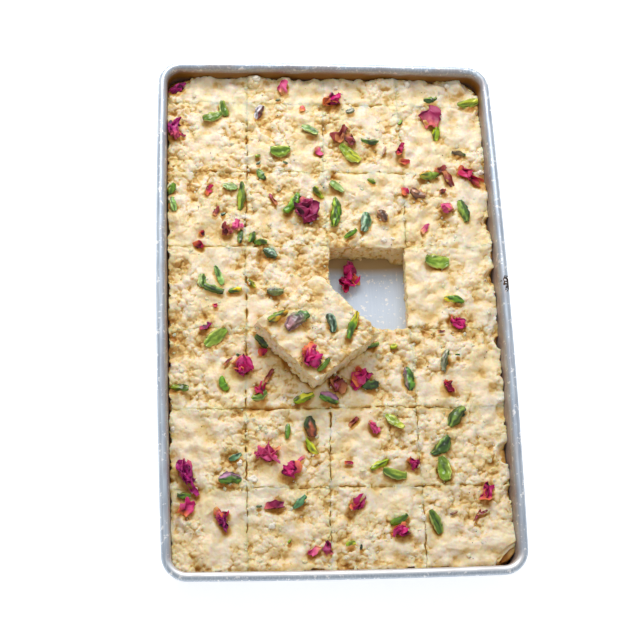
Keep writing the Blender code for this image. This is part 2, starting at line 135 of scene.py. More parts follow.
# Cuts: six lines across the tin, and three along it that wander a little, from far to near
CUT_WIDTH = 0.6
CUTS_ACROSS = (122.5, 81.0, 37.0, -9.5, -53.5, -95.5)
CUTS_ALONG = (
    (-43.0, -43.5, -44.5, -46.5, -47.0, -48.5, -49.0, -49.5),
    (-0.5, -1.0, -2.5, -2.0, -3.0, -4.5, -6.0, -7.5),
    (40.5, 41.0, 42.0, 41.0, 40.5, 41.0, 41.5, 41.5),
)
STATIONS_ALONG = (SLAB_HALF_LENGTH,) + CUTS_ACROSS + (-SLAB_HALF_LENGTH,)
EMPTY_CELL = (3, 3)

# Cells with free sides, as flags: left, right, near, far
FREE_SIDES = {(2, 3): (0, 0, 1, 0), (3, 2): (0, 1, 0, 0), (3, 4): (1, 0, 0, 0), (4, 3): (0, 0, 0, 1)}

# Free sides: how far each has grown outwards, how far its foot is undercut, how much lies at its foot,
# and how golden it is; the last is for the lifted square. The heap grows from one sum of x and y on
FREE_FORMS = {
    (2, 3): (0.3, 0.0, 1.8, 0.17),
    (3, 2): (0.8, 0.0, 0.6, 0.1),
    (3, 4): (1.3, 2.4, 0.4, 0.1),
    (4, 3): (0.0, 0.0, 0.8, 0.1),
    None: (0.6, 0.0, 0.7, 0.08),
}
HEAP_FROM = 20.0
HEAP_GROWS = 25.0

# How far each cut gapes, along it: (place, 0 for pressed shut to 1 for open)
CUTS_ACROSS_GAPE = (
    ((-88, 0.1), (0, 0.1), (8, 0.8), (33, 0.8), (40, 0.1), (88, 0.1)),
    ((-88, 0.3), (-66, 0.4), (-62, 1.2), (-54, 1.0), (-43, 0.8), (-35, 0.5), (-27, 0.3), (-1, 0.4),
     (8, 0.6), (41, 0.6), (50, 0.2)),
    ((-74, 0.3), (-70, 0.8), (-52, 0.8), (-46, 0.3), (-28, 0.6), (-7, 0.6), (42, 0.6), (60, 0.4), (80, 0.1)),
    ((-88, 0.2), (-60, 0.4), (-44, 0.2), (35, 0.5), (52, 0.5), (60, 0.15)),
    ((-88, 0.3), (-81, 0.6), (-49, 0.9), (-4, 1.0), (33, 0.7), (40, 1.0), (55, 0.8), (62, 0.2)),
    ((-88, 0.2), (-74, 0.4), (-49, 0.5), (-8, 0.7), (1, 0.8), (70, 0.8), (76, 0.2)),
)
CUTS_ALONG_GAPE = (
    ((-132, 0.1), (-125, 0.6), (-100, 0.6), (-96, 0.9), (-74, 1.0), (-72, 0.6), (-53, 0.6), (-48, 1.1),
     (-20, 1.1), (-18, 0.6), (-5, 0.5), (-2, 1.0), (26, 1.0), (28, 0.6), (40, 0.3), (45, 1.1), (59, 1.1),
     (61, 0.5), (78, 0.5), (80, 0.9), (110, 1.0), (113, 0.1)),
    ((-138, 0.3), (-120, 0.6), (-106, 0.7), (-95, 0.4), (-88, 1.0), (-76, 1.0), (-70, 0.4), (-66, 1.0),
     (-55, 1.1), (-50, 0.8), (-9, 0.5), (37, 0.2), (100, 0.1), (104, 0.5), (116, 0.5), (119, 0.1)),
    ((-132, 0.3), (-127, 1.4), (-120, 1.4), (-118, 0.6), (-100, 0.6), (-90, 0.3), (-76, 0.6), (-60, 0.6),
     (-52, 0.2), (-9, 0.2), (36, 0.6), (78, 0.5), (82, 0.1)),
)

# Cuts: how far they wander, how deep they gape at a cell's left, right, near and far side, how their gape
# comes and goes across and along the tin (usual, swing, least), and how far pressed sides overlap
CUT_WANDER = 0.55
CUT_DEPTHS = (1.4, 1.4, 1.0, 1.0)
CUT_DASHES = ((0.85, 1.2, 0.15), (0.6, 1.7, 0.0))
PRESSED_SHUT = 0.33
PRESSED_SHUT_BELOW = 0.27

# At the tin's walls, left, right, near and far: how far the sweet stays back, and how much painted shade
# darkens it there
WALL_SETBACKS = (0.5, -0.3, -0.3, 0.0)
WALL_SHADES = (0.1, 0.0, 0.12, 0.0)
WALL_SHADE_REACH = 4.8

# Shade of the toppings on the sweet: how far it lies towards the near side, and how far it is looked for;
# then how far the lifted square's shade reaches
SHADE_SHIFT = 1.8
SHADE_MARGIN = 10.0
LIFTED_SHADE = 4.5

# Crags of the top, as in the solids: wide swells, lumps, and hollows with their place, radius and depth,
# which is below 0 for a mound
SWELL_LENGTH = 17.0
SWELL_HEIGHT = 0.8
SWELL_SLICE = 3.1
LUMP_LENGTH = 6.5
LUMP_HEIGHT = 2.4
LUMP_SLICE = 7.7
CRAG_LIMIT = 1.0
HOLLOWS = (
    (-83, 23, 8, 3), (-86, -24, 6, 3), (72, 127, 8, 2), (77, -15, 6, 1), (68, 40, 5, 1), (-70, 79, 6, 1),
    (-60, -77, 7, 1), (88, -55, 5, 2), (-38, 137, 6, -3), (-22, 137, 5, -3), (35, 137, 6, -3),
    (76, 136, 7, -2), (-66, 137, 6, -1), (87, 104, 7, -1), (87, 66, 7, -1), (87, 36, 6, -2),
    (87, -2, 6, -1), (87, -38, 7, -2), (87, -64, 6, -1), (-86, 4, 6, -1), (-70, -128, 8, -1),
)

# Where the slab has broken off at the wall: corners with their place, radius and depth, sides with their
# place and radius, how far each is felt in radii, the sides' depth, and how the top slopes down to a break
BROKEN_CORNERS = ((-90, 142, 12, 4.5), (93, -142, 11.5, 16.0), (93, 143, 11, 4.5))
BROKEN_SIDES = ((91, 51, 4), (91, 20, 4), (91, -18, 4), (92, -79, 6), (91, -100, 4))
CORNER_REACH = 1.5
SIDE_REACH = 2.0
BREAK_DEPTH = 4.5
BREAK_SLOPE = 0.25

# A lump that leans on the right wall near the near right corner: its place, radius, rise and reach
LEANING_PLACE = (88.0, -127.0)
LEANING_RADIUS = 12.0
LEANING_RISE = 4.2
LEANING_REACH = 4.0

# Lifted square: its top corners, near left, near right, far right, far left, and its thickness
LIFTED_CORNERS = ((-42.1, -11.7), (-13.2, -42.7), (20.0, -17.3), (-10.4, 14.3))
LIFTED_NOISE_SHIFT = 0.4
LIFTED_THICKNESS = 15.4

# Net of one block: its usual lengths and the lines of its top, closer beside the cuts, and rings down its
# sides; then the size of the noises' tables
SQUARE_LENGTH = 44.0
STRIP_LENGTH = 16.0
TOP_SPACING = 0.37
EDGE_LINES = (0.12, 0.3, 0.55, 0.9)
HIDDEN_RINGS = 10
SHOWN_RINGS = 34
TABLE = 32

# Grains: their radii as shares of the distance between them, and the mean height that these give
SMALLEST_GRAIN = 0.5
LARGEST_GRAIN = 1.0
MEAN_GRAIN = 0.55

# Grains of the top, from lumps to fine: size as a share of the grain size, seed, height, and gold painted
# into their creases as shade
TOP_GRAINS = ((2.1, 12, 0.3, 0.2), (1.0, 2, 0.4, 0.36), (0.52, 3, 0.17, 0.18), (0.3, 4, 0.03, 0.06))

# Grains of the free sides, from coarse to fine: size, seed, height, and gold painted into their creases as
# shade
SIDE_GRAINS = ((3.6, 9, 1.0, 0.25), (1.6, 10, 0.8, 0.3), (0.9, 15, 0.35, 0.2))

# How golden the top is in blotches, and as painted shade on slopes that face the near end, in hollows, at cut
# edges, in the toppings' shade and at breaks; and how golden the hidden sides are, as painted shade in the
# cuts
BLOTCH_GOLD = 0.22
SLOPE_GOLD = 0.2
HOLLOW_GOLD = 0.3
EDGE_GOLD = 0.5
SHADE_GOLD = 0.75
BREAK_GOLD = 0.15
BREAK_SIDE_GOLD = 0.08
HIDDEN_GOLD = 0.8

# Pistachios: place, heading, length, width and tone
NUTS = (
    (-57, 119, 105, 9, 5, "green"), (-63, 113, 20, 11, 5, "green"), (-37, 117, 65, 9, 4, "skin"),
    (60, 126, 15, 8, 4, "dark"), (83, 124, 10, 12, 5, "lime"), (-9, 106, -30, 10, 5, "pale"),
    (-26, 93, 5, 11, 6, "cut"), (-37, 79, -60, 7, 4, "dark"), (24, 100, 0, 10, 4, "green"),
    (12, 92, -40, 14, 6, "lime"), (62, 106, 80, 10, 4, "lime"), (74, 93, -15, 8, 3, "mixed"),
    (-86, 70, 70, 7, 4, "green"), (-85, 61, 100, 8, 4, "pale"), (-54, 71, -15, 8, 5, "pale"),
    (-48, 66, 85, 16, 4, "green"), (-20, 62, 57, 14, 5.5, "bright"), (-6, 69, -50, 8, 4, "lime"),
    (4, 72, -35, 9, 5, "pale"), (3, 57, 85, 17, 5, "bright"), (19, 51, 80, 11, 6, "mint"),
    (29, 55, -60, 8, 5, "brown"), (11, 44, 35, 8, 3, "bright"), (49, 68, -25, 9, 6, "brown"),
    (56, 79, 190, 11, 5, "olive"), (74, 58, 105, 13, 5, "dark"), (-49, 42, 80, 8, 3, "dark"),
    (-43, 42, 65, 7, 3, "dark"), (-38, 39, -10, 7, 4, "green"), (-33, 33, -35, 8, 5, "teal"),
    (-61, 20, -70, 11, 4, "pale"), (-64, 12, -20, 11, 4, "dark"), (-53, 12, 5, 9, 3, "yellow"),
    (-44, 16, -50, 8, 3, "lime"), (-70, 17, 90, 7, 4, "pale"), (-31, 11, -5, 9, 4, "grey"),
    (57, 29, -5, 13, 7, "cut"), (65, 6, 168, 11, 5, "yellow"), (-63, -15, 35, 14, 6, "cut"),
    (-39, -17, -47, 9, 5, "dark"), (-60, -40, -65, 8, 5, "bright"), (-84, -42, -12, 11, 4, "green"),
    (-41, -47, 20, 9, 5, "green"), (-18, -48, 20, 11, 4, "lime"), (-5, -48, -20, 10, 5, "lilac"),
    (17, -41.5, 10, 9, 5, "dark"), (38, -38, 95, 13, 6, "lilac"), (58, -28, 75, 12, 4, "grey"),
    (-15, -64, -80, 11, 6, "rust"), (-27, -66, 85, 8, 3, "green"), (-15, -74, -60, 11, 4, "lime"),
    (62, -59, 50, 13, 6, "dark"), (29, -62, -45, 12, 5, "lime"), (53, -75, 45, 13, 6.5, "dark"),
    (54, -87, -80, 13, 7, "cut"), (20, -84, 30, 12, 4, "lime"), (27, -89, -10, 13, 5, "green"),
    (-54, -79, 20, 7, 4, "mint"), (-58, -91, 5, 12, 6, "lilac"), (-81, -99, 0, 7, 4, "green"),
    (-22, -103, 45, 9, 4, "mint"), (29, -113, 25, 10, 4, "green"), (47, -114, -65, 13, 5, "green"),
    (-32, -9, 30, 12, 5, "olive"), (-22, -11, 35, 14, 7, "mauve"), (-4, -13, -80, 10, 5, "teal"),
    (-9, -35, 45, 9, 3, "green"), (7, -14, 70, 16, 4, "yellow"),
    (14, 118, 20, 5, 3, "grey"), (24, 76, -30, 5, 2.5, "green"), (42, 112, 50, 4, 2, "dark"),
    (-38.5, 90.5, 10, 3, 2, "lime"), (-26, 125, 0, 3, 1.5, "grey"), (-38, 86.5, 40, 3, 1.5, "teal"),
    (-23.5, 86, -20, 3, 1.5, "grey"), (-58, 56, 30, 3, 2, "teal"), (-51, -25, -40, 4, 2, "dark"),
    (-43, -105, 10, 3, 1.5, "grey"), (-28, -123, 60, 3, 1.5, "lime"), (19.5, -19.5, 15, 7, 3, "dark"),
    (65, -25, 0, 2.5, 1.5, "dark"), (31, -20, 20, 4, 3, "lime"), (3, -125, 10, 5, 3, "lime"),
    (8, -127, 80, 3, 1.5, "dark"), (32, 94, 70, 5, 1.5, "brown"), (57, -110, 20, 4, 1.5, "brown"),
)

# Tones of a nut: its colour, its second colour, and how far that lies towards its tip and its side
NUT_TONES = {
    "cut": ((120, 158, 26), (172, 196, 70), 0.0, 0.5, True),
    "bright": ((96, 148, 8), (172, 202, 62), 0.0, 0.7, False),
    "green": ((88, 126, 12), (150, 172, 52), 0.0, 0.6, True),
    "lime": ((138, 164, 6), (208, 210, 50), 0.6, 0.3, True),
    "yellow": ((92, 140, 14), (234, 206, 12), 1.4, 0.0, False),
    "olive": ((112, 138, 30), (214, 158, 28), 0.2, -0.9, False),
    "pale": ((128, 170, 82), (192, 208, 140), 0.0, 0.6, True),
    "grey": ((106, 126, 80), (178, 174, 150), 0.0, 0.8, False),
    "teal": ((42, 84, 46), (150, 178, 152), 0.0, 0.6, False),
    "dark": ((54, 88, 20), (128, 158, 60), 0.0, 0.6, False),
    "mint": ((84, 138, 90), (180, 208, 178), 0.0, 0.6, False),
    "mixed": ((104, 84, 52), (92, 144, 40), 1.6, 0.0, False),
    "rust": ((46, 74, 24), (150, 72, 40), 1.2, 0.0, False),
    "lilac": ((88, 142, 36), (166, 114, 150), 0.0, 1.0, False),
    "mauve": ((182, 136, 144), (92, 138, 66), 1.5, 0.0, False),
    "skin": ((210, 204, 212), (126, 52, 54), 0.2, -1.6, False),
    "brown": ((132, 86, 64), (190, 140, 108), 0.3, 0.4, False),
}
SKIN_COLOUR = (134, 92, 60)
RIM_COLOUR = (214, 218, 110)

# Narrowest nut that is half a kernel, the length from which one has the finer net, and the two nets
NUT_SMALLEST_HALF = 5
NUT_FINE_FROM = 6
NUT_FINE_NET = (34, 20)
NUT_NET = (12, 10)

# Rose petals: place, heading from foot to tip, length, width, form and tone
PETALS = (
    (-82, 131, 5, 10, 5, "clump", "purple"), (-85, 106, 90, 14, 7, "clump", "purple"),
    (-80, 102, -20, 5, 2, "petal", "crimson"), (-23, 132, 90, 8, 5, "petal", "pink"),
    (-13, 119, 40, 4, 3, "petal", "orange"), (-5, 94, -60, 5, 4, "petal", "pink"),
    (-66, 70, 60, 8, 3, "petal", "crimson"), (-62, 57, 60, 6, 3, "petal", "brown"),
    (-56, 46, 120, 8, 6, "clump", "brown"), (-51, 48, 20, 7, 5, "clump", "pink"),
    (-70, 45, 30, 4, 3, "petal", "crimson"), (-71, 38, -35, 6, 4, "petal", "crimson"),
    (-31, 64, 115, 8, 2, "stick", "brown"), (-12, 57, -50, 16, 10, "clump", "wine"),
    (-63, 3, 0, 3, 2, "petal", "crimson"), (4, 124, 30, 10, 8, "clump", "magenta"),
    (7, 127, 55, 6, 2, "petal", "crimson"), (9, 104, 65, 11, 5, "stick", "brown"),
    (6, 102, 160, 8, 5, "petal", "brown"), (13, 101, -50, 8, 5, "petal", "brown"),
    (59.5, 115, 80, 14, 8.5, "petal", "wine"), (41, 94, 80, 10, 4, "clump", "crimson"),
    (43, 88, -10, 6, 3, "petal", "orange"), (63, 84, 20, 7, 3, "petal", "brown"),
    (67, 78, -65, 10, 4, "stick", "brown"), (77, 82, -10, 9, 5, "petal", "crimson"),
    (82.5, 77, 148, 17, 4.5, "stick", "crimson"), (63, 69, 10, 5, 3, "petal", "brown"),
    (64, 60, 160, 9, 6, "clump", "pink"), (42, 69, 20, 5, 4, "petal", "crimson"),
    (52, 48, 50, 7, 3, "petal", "pink"), (-69, -9, 30, 7, 4, "petal", "purple"),
    (-50, -31, -40, 12, 9, "clump", "magenta"), (-40, -43, 40, 10, 5, "clump", "crimson"),
    (-36, -36, 60, 9, 2, "stick", "brown"), (-39, -23, 20, 5, 3, "petal", "crimson"),
    (-38, -77, 200, 13, 8, "clump", "pink"), (-27, -87, 205, 12, 7, "clump", "magenta"),
    (-21, -81, 225, 6, 2, "petal", "pink"), (-79.5, -89, -68, 18, 7, "clump", "purple"),
    (-76, -96, -50, 8, 3, "stick", "purple"), (-80, -105, 60, 9, 7, "petal", "magenta"),
    (-61.5, -113, -52, 12, 4, "clump", "purple"), (-64, -108, -65, 7, 3, "petal", "orange"),
    (-60, -109, 20, 6, 4, "petal", "crimson"), (-35, -105, 5, 10, 4, "stick", "wine"),
    (-15.5, -128, 195, 7, 4, "petal", "pink"), (-9, -127, 100, 8, 4, "petal", "wine"),
    (-15, -31, -80, 12, 10, "clump", "magenta"), (66, -6, -40, 12, 6, "clump", "magenta"),
    (13, -37, 20, 12, 8, "clump", "magenta"), (12, -34, 150, 6, 4, "petal", "orange"),
    (58, -43, -80, 8, 6, "clump", "crimson"), (0, -41, 60, 10, 8, "clump", "brown"),
    (8, -61, 45, 8, 2, "stick", "brown"), (18, -64, -60, 9, 4, "clump", "pink"),
    (37, -84, -50, 9, 5, "clump", "magenta"), (75, -99, 75, 13, 6, "clump", "magenta"),
    (7, -104, 30, 11, 6, "clump", "magenta"), (29, -119, -20, 11, 7, "clump", "magenta"),
    (4, -83, -5, 5, 1.5, "stick", "crimson"), (69, -112, 60, 8, 1.2, "stick", "brown"),
    (72, -110, 20, 6, 1.2, "stick", "brown"), (-57, -28, 45, 6, 1.2, "stick", "brown"),
    (57, -12, 10, 4, 1.2, "stick", "brown"),
)

# Tones of a petal: its colour, a darker one for its edges and for painted shade in its folds, and one for its
# foot
PETAL_TONES = {
    "magenta": ((216, 6, 116), (96, 2, 50), (250, 138, 74)),
    "pink": ((238, 90, 146), (176, 20, 88), (250, 176, 120)),
    "wine": ((170, 28, 90), (82, 10, 44), (228, 108, 108)),
    "crimson": ((204, 12, 82), (88, 4, 34), (248, 128, 70)),
    "purple": ((190, 14, 128), (74, 4, 56), (226, 90, 120)),
    "orange": ((246, 124, 78), (206, 40, 66), (250, 186, 100)),
    "brown": ((160, 62, 52), (88, 24, 28), (222, 146, 90)),
}
# A pale pink painted highlight on the petals' raised folds and creases
PETAL_HIGHLIGHT = (250, 130, 190)
PETAL_THICKNESS = 0.28
PETAL_NET = (16, 12)

# The petal that has fallen to the floor of the empty cell: place, heading, length and width; then its
# folds: share of its length, turn, place in it, tone and cup
FALLEN_PETAL = (10.7, 25.0, 90, 16, 11)
FALLEN_FOLDS = (
    (0.62, -4, 0.0, 4.2, "wine", 0.9), (0.6, 8, 0.6, 2.6, "magenta", -1.2),
    (0.55, 50, -1.6, -3.4, "magenta", 2.2), (0.5, -60, 2.4, -3.6, "magenta", -1.8),
    (0.42, 10, 2.8, -1.4, "orange", 1.0), (0.5, 20, -3.0, -5.0, "crimson", 1.6),
)

# Loose crumbs: how golden they are, from 0 to 1, and the floor that they gather on in the empty cell
CRUMB_PIT = 0.16
CELL_WIDTH = 40.0
CELL_LENGTH = 44.0
CELL_FLOOR_STEPS = 60

# White crumbs that stand out: place and radius
WHITE_CRUMBS = (
    (-38, 138, 2.0), (-47.4, 54, 1.2), (-87.5, 65.6, 1.3), (-12.5, -42.5, 1.0), (-45.3, -91, 2.2),
    (-46.6, -106, 1.3), (-52, -82.6, 1.2), (-37, -115.4, 2.0), (41, -112.3, 1.3), (-11, 65.6, 1.2),
    (70, 135, 1.6), (47, 136, 1.8), (87, 82, 1.5), (17, 41, 1.0), (29, 40.5, 1.2), (34, 42, 0.9),
    (86, -50, 1.3), (-86, -64, 1.0), (7, 133, 1.4),
)

# Light and camera: the lamp's place in metres; the camera's in millimetres, with its directions
KEY_PLACE = (-0.07, 0.62, 0.57)
CAMERA_PLACE = (-101.64, -268.56, 772.15)
CAMERA_LOOK = (0.11673, 0.32793, -0.93746)
CAMERA_RIGHT = (0.99316, -0.0402, 0.1096)


def linear(red, green, blue):
    """A colour as a screen shows it, 0 to 255, as the linear colour that shaders use."""
    shares = (channel / 255 for channel in (red, green, blue))
    return tuple(((c + 0.055) / 1.055) ** 2.4 if c > 0.04045 else c / 12.92 for c in shares) + (1.0,)


def coordinates(mesh):
    """The mesh's points as an array."""
    found = np.empty(len(mesh.vertices) * 3)
    mesh.vertices.foreach_get("co", found)
    return found.reshape(-1, 3)


def add_attribute(mesh, name, values):
    """Store a number or a colour on every point of a mesh."""
    kind, key = ("FLOAT", "value") if values.ndim == 1 else ("FLOAT_COLOR", "color")
    attribute = mesh.attributes.new(name, kind, "POINT")
    attribute.data.foreach_set(key, values.astype(np.float32).ravel())


def add_piece(name, mesh, finish, replaced=()):
    """Turn a mesh into a shown piece that rides with the tin."""
    mesh.name = name
    mesh.materials.clear()
    mesh.materials.append(finish)
    mesh.shade_smooth()
    piece = bpy.data.objects.new(name, mesh)
    bpy.context.scene.collection.objects.link(piece)
    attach(piece, "root")
    if replaced:
        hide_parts(*replaced)
    return piece


def soft_noise(points, size, seed, channels=1):
    """Smooth noise from -1 to 1 that changes over the given size."""
    table = np.random.default_rng(seed).random((TABLE, TABLE, TABLE, channels))
    scaled = points / size
    cell = np.floor(scaled).astype(int)
    share = scaled - cell
    share = share * share * (3 - 2 * share)
    total = np.zeros((len(points), channels))
    for corner in itertools.product((0, 1), repeat=3):
        weight = np.prod(np.where(corner, share, 1 - share), axis=1)
        i, j, k = ((cell + corner) % TABLE).T
        total += weight[:, None] * table[i, j, k]
    total = total * 2 - 1
    return total[:, 0] if channels == 1 else total


def grains(points, size, seed):
    """Round grains of mixed sizes, side by side: about 0.35 at their tops, -0.5 in the creases between."""
    table = np.random.default_rng(seed).random((TABLE, TABLE, TABLE, 4))
    scaled = points / size
    cell = np.floor(scaled).astype(int)
    best = np.zeros(len(points))
    for step in itertools.product((-1, 0, 1), repeat=3):
        i, j, k = ((cell + step) % TABLE).T
        there = table[i, j, k]
        away = scaled - cell - step - there[:, :3]
        radius = SMALLEST_GRAIN + (LARGEST_GRAIN - SMALLEST_GRAIN) * there[:, 3]
        best = np.maximum(best, np.sqrt(np.clip(radius * radius - (away * away).sum(1), 0, None)))
    return best - MEAN_GRAIN


def crag_heights(plan, shift):
    """Height of the lumpy top above or below its level, the same as in the solids."""
    heights = np.empty(len(plan))
    for index, (x, y) in enumerate(plan):
        swell = noise.noise((x / SWELL_LENGTH, y / SWELL_LENGTH, SWELL_SLICE + shift))
        lump = noise.noise((x / LUMP_LENGTH, y / LUMP_LENGTH, LUMP_SLICE + shift))
        heights[index] = min(SWELL_HEIGHT * swell + LUMP_HEIGHT * lump, CRAG_LIMIT)
    if not shift:
        for x, y, radius, depth in HOLLOWS:
            reach = np.hypot(plan[:, 0] - x, plan[:, 1] - y) / radius
            heights -= depth * np.clip(1 - reach * reach, 0, None)
    return heights


def cut_x(line, y):
    """Where a cut along the tin lies at a given y."""
    return float(np.interp(-y, [-station for station in STATIONS_ALONG], line))


def cell_corners(row, column):
    """Plan corners of a cell, near left round to far left; row 0 is the thin strip at the far end."""
    far, near = STATIONS_ALONG[row], STATIONS_ALONG[row + 1]
    half_cut = CUT_WIDTH / 2
    corners = []
    for y, line in ((near, column - 1), (near, column), (far, column), (far, column - 1)):
        if line in (0, 4):
            x = math.copysign(SLAB_HALF_WIDTH, line - 1)
        else:
            x = cut_x(CUTS_ALONG[line - 1], y) + (half_cut if line == column - 1 else -half_cut)
        lift = half_cut if y == near and row < 6 else 0.0
        lower = half_cut if y == far and row > 0 else 0.0
        corners.append((x, y + lift - lower))
    return np.array(corners)


def broken_back(plan, uneven, depth):
    """Push plan points away from the places where the slab has broken off at the wall, less so deep down."""
    for x, y, radius, deepest in BROKEN_CORNERS:
        away = plan - (x, y)
        distance = np.hypot(*away.T)
        gone = radius * uneven * np.clip(1.15 - depth / deepest, 0.02, 1)
        kept = gone + distance * (1 - gone / (CORNER_REACH * radius))
        near = distance < CORNER_REACH * radius
        moved = (x, y) + away / np.maximum(distance, 0.01)[:, None] * kept[:, None]
        plan = np.where(near[:, None], moved, plan)
    left = uneven * np.clip(1.15 - depth / BREAK_DEPTH, 0.02, 1)
    for x, y, radius in BROKEN_SIDES:
        gone = np.sqrt(np.clip(radius ** 2 - (plan[:, 1] - y) ** 2, 0, None)) * left
        inwards = np.abs(x - plan[:, 0])
        reach = SIDE_REACH * radius
        kept = gone + inwards * (1 - gone / reach)
        moved_x = np.where(inwards < reach, x - math.copysign(1, x) * kept, plan[:, 0])
        plan = np.column_stack((moved_x, plan[:, 1]))
    return plan


def inside_tin(plan, z, inset):
    """Pull plan points in until they lie the inset away from the tin's inner outline at their height."""
    share = np.minimum(z, SLAB_TOP) / TIN_TOP
    half = np.column_stack((
        INNER_HALF_WIDTH + LONG_SIDE_BOW * share * (1 - (plan[:, 1] / INNER_HALF_LENGTH) ** 2) - inset,
        INNER_HALF_LENGTH + SHORT_SIDE_BOW * share * (1 - (plan[:, 0] / INNER_HALF_WIDTH) ** 2) - inset))
    held = np.clip(plan, -half, half)
    centre = np.copysign(half - INNER_CORNER_RADIUS, held)
    away = held - centre
    distance = np.hypot(*away.T)
    outside = (away * centre > 0).all(1) & (distance > INNER_CORNER_RADIUS)
    on_arc = centre + away / np.maximum(distance, 0.01)[:, None] * INNER_CORNER_RADIUS
    return np.where(outside[:, None], on_arc, held)


def held_inside(points):
    """Shift a topping inwards as one until all of it lies clear of the tin's wall."""
    pulled = inside_tin(points[:, :2], points[:, 2], TOPPING_GAP) - points[:, :2]
    return points + (*(pulled.min(0) + pulled.max(0)), 0)


def cuts_beside(row, column, plan):
    """How far the cuts left, right, near and far of a cell gape and wander beside points; a wall has none."""
    found = []
    cuts = ((1, column - 2, CUTS_ALONG_GAPE), (1, column - 1, CUTS_ALONG_GAPE),
            (0, row, CUTS_ACROSS_GAPE), (0, row - 1, CUTS_ACROSS_GAPE))
    for axis, cut, gapes in cuts:
        if cut in (-1, len(gapes)):
            found.append(None)
            continue
        place = plan[:, axis]
        line = np.column_stack((place, np.full(len(place), 10.0 * cut), np.full(len(place), 50.0 * axis)))
        wander = CUT_WANDER * (soft_noise(line, 6.0, SEED + 13) + 0.7 * soft_noise(line, 2.0, SEED + 14))
        usual, swing, least = CUT_DASHES[axis]
        dashes = np.clip(usual + swing * soft_noise(line, 2.6, SEED + 19), least, 1.3)
        found.append((np.interp(place, *zip(*gapes[cut])) * dashes, wander))
    return found


def edge_stations(length, steps):
    """Where the lines of a net cross an edge, 0 to 1, closer together beside both ends."""
    last = EDGE_LINES[-1]
    inner = np.linspace(last, length - last, steps + 1 - 2 * len(EDGE_LINES))
    ends = np.array((0.0,) + EDGE_LINES[:-1])
    return np.concatenate((ends, inner, length - ends[::-1])) / length


def block_net(steps_x, steps_y, rings):
    """A unit grid with rings of side faces under its outline and a bottom; z counts the rings."""
    bm = bmesh.new()
    bmesh.ops.create_grid(bm, x_segments=steps_x, y_segments=steps_y, size=0.5)
    bmesh.ops.translate(bm, verts=bm.verts, vec=(0.5, 0.5, 0.0))
    edges = [edge for edge in bm.edges if edge.is_boundary]
    for ring in range(rings):
        grown = bmesh.ops.extrude_edge_only(bm, edges=edges)["geom"]
        verts = [item for item in grown if isinstance(item, bmesh.types.BMVert)]
        edges = [item for item in grown if isinstance(item, bmesh.types.BMEdge)]
        bmesh.ops.translate(bm, verts=verts, vec=(0.0, 0.0, -1.0))
        edges = [edge for edge in edges if edge.is_boundary]
    bmesh.ops.holes_fill(bm, edges=edges, sides=0)
    bmesh.ops.recalc_face_normals(bm, faces=bm.faces)
    mesh = bpy.data.meshes.new("block net")
    bm.to_mesh(mesh)
    bm.free()
    return mesh


def shade_of_toppings(plan):
    """How golden the sweet is where the nuts and petals shade it, on their near sides."""
    shade = np.zeros(len(plan))
    low, high = plan.min(0) - SHADE_MARGIN, plan.max(0) + SHADE_MARGIN
    for x, y, heading, length, width, *_ in NUTS + PETALS:
        if not (low[0] < x < high[0] and low[1] < y < high[1]):
            continue
        along = np.array((math.cos(math.radians(heading)), math.sin(math.radians(heading))))
        across = (-along[1], along[0])
        away = plan - (x, y - SHADE_SHIFT)
        reach = ((away @ along) / (0.55 * length)) ** 2 + ((away @ across) / (0.7 * width)) ** 2
        shade = np.maximum(shade, np.clip(1.3 - reach, 0, 1))
    return shade


def shade_of_lifted(plan):
    """How golden the sweet is in the shade along the near sides of the lifted square."""
    corners = np.array(LIFTED_CORNERS)
    outside = []
    for start, end in zip(corners, np.roll(corners, -1, axis=0)):
        along = (end - start) / np.linalg.norm(end - start)
        outside.append((plan - start) @ (along[1], -along[0]))
    away = np.max(outside, axis=0)
    near = (np.argmax(outside, axis=0) < 2) & (away > -4)
    return np.where(near, np.clip(1 - away / LIFTED_SHADE, 0, 1), 0) ** 1.5


def slope_to_far(unit, steps, ring, z, along, length):
    """How steeply the top rises towards the tin's far end at every point; 0 on the sides."""
    top = ring == 0
    columns, rows = np.rint(unit[top, :2] * steps).astype(int).T
    heights = np.zeros((steps[0] + 1, steps[1] + 1))
    heights[columns, rows] = z[top]
    step = length / steps[1]
    slopes = np.gradient(heights, step, axis=1) * along[1] - np.gradient(heights, step, axis=0) * along[0]
    found = np.zeros(len(z))
    found[top] = slopes[columns, rows]
    return found


def laid_out(unit, steps, corners):
    """Plan of a net's points in a cell, their distances from its sides, its directions and its length."""
    near_left, near_right, far_right, far_left = corners
    near_edge, far_edge = near_right - near_left, far_right - far_left
    left_edge, right_edge = far_left - near_left, far_right - near_right
    width = (np.linalg.norm(near_edge) + np.linalg.norm(far_edge)) / 2
    length = (np.linalg.norm(left_edge) + np.linalg.norm(right_edge)) / 2
    u = edge_stations(width, steps[0])[np.rint(unit[:, 0] * steps[0]).astype(int)]
    v = edge_stations(length, steps[1])[np.rint(unit[:, 1] * steps[1]).astype(int)]
    near = near_left + np.outer(u, near_edge)
    far = far_left + np.outer(u, far_edge)
    across = near_edge / np.linalg.norm(near_edge)
    along = left_edge / np.linalg.norm(left_edge)
    gaps = (u * width, (1 - u) * width, v * length, (1 - v) * length)
    return near + v[:, None] * (far - near), gaps, (across, along), length


def creased(grain):
    """How deep points lie in the creases between grains, 0 to 1."""
    return np.clip(-2.3 * grain - 0.1, 0, 1)


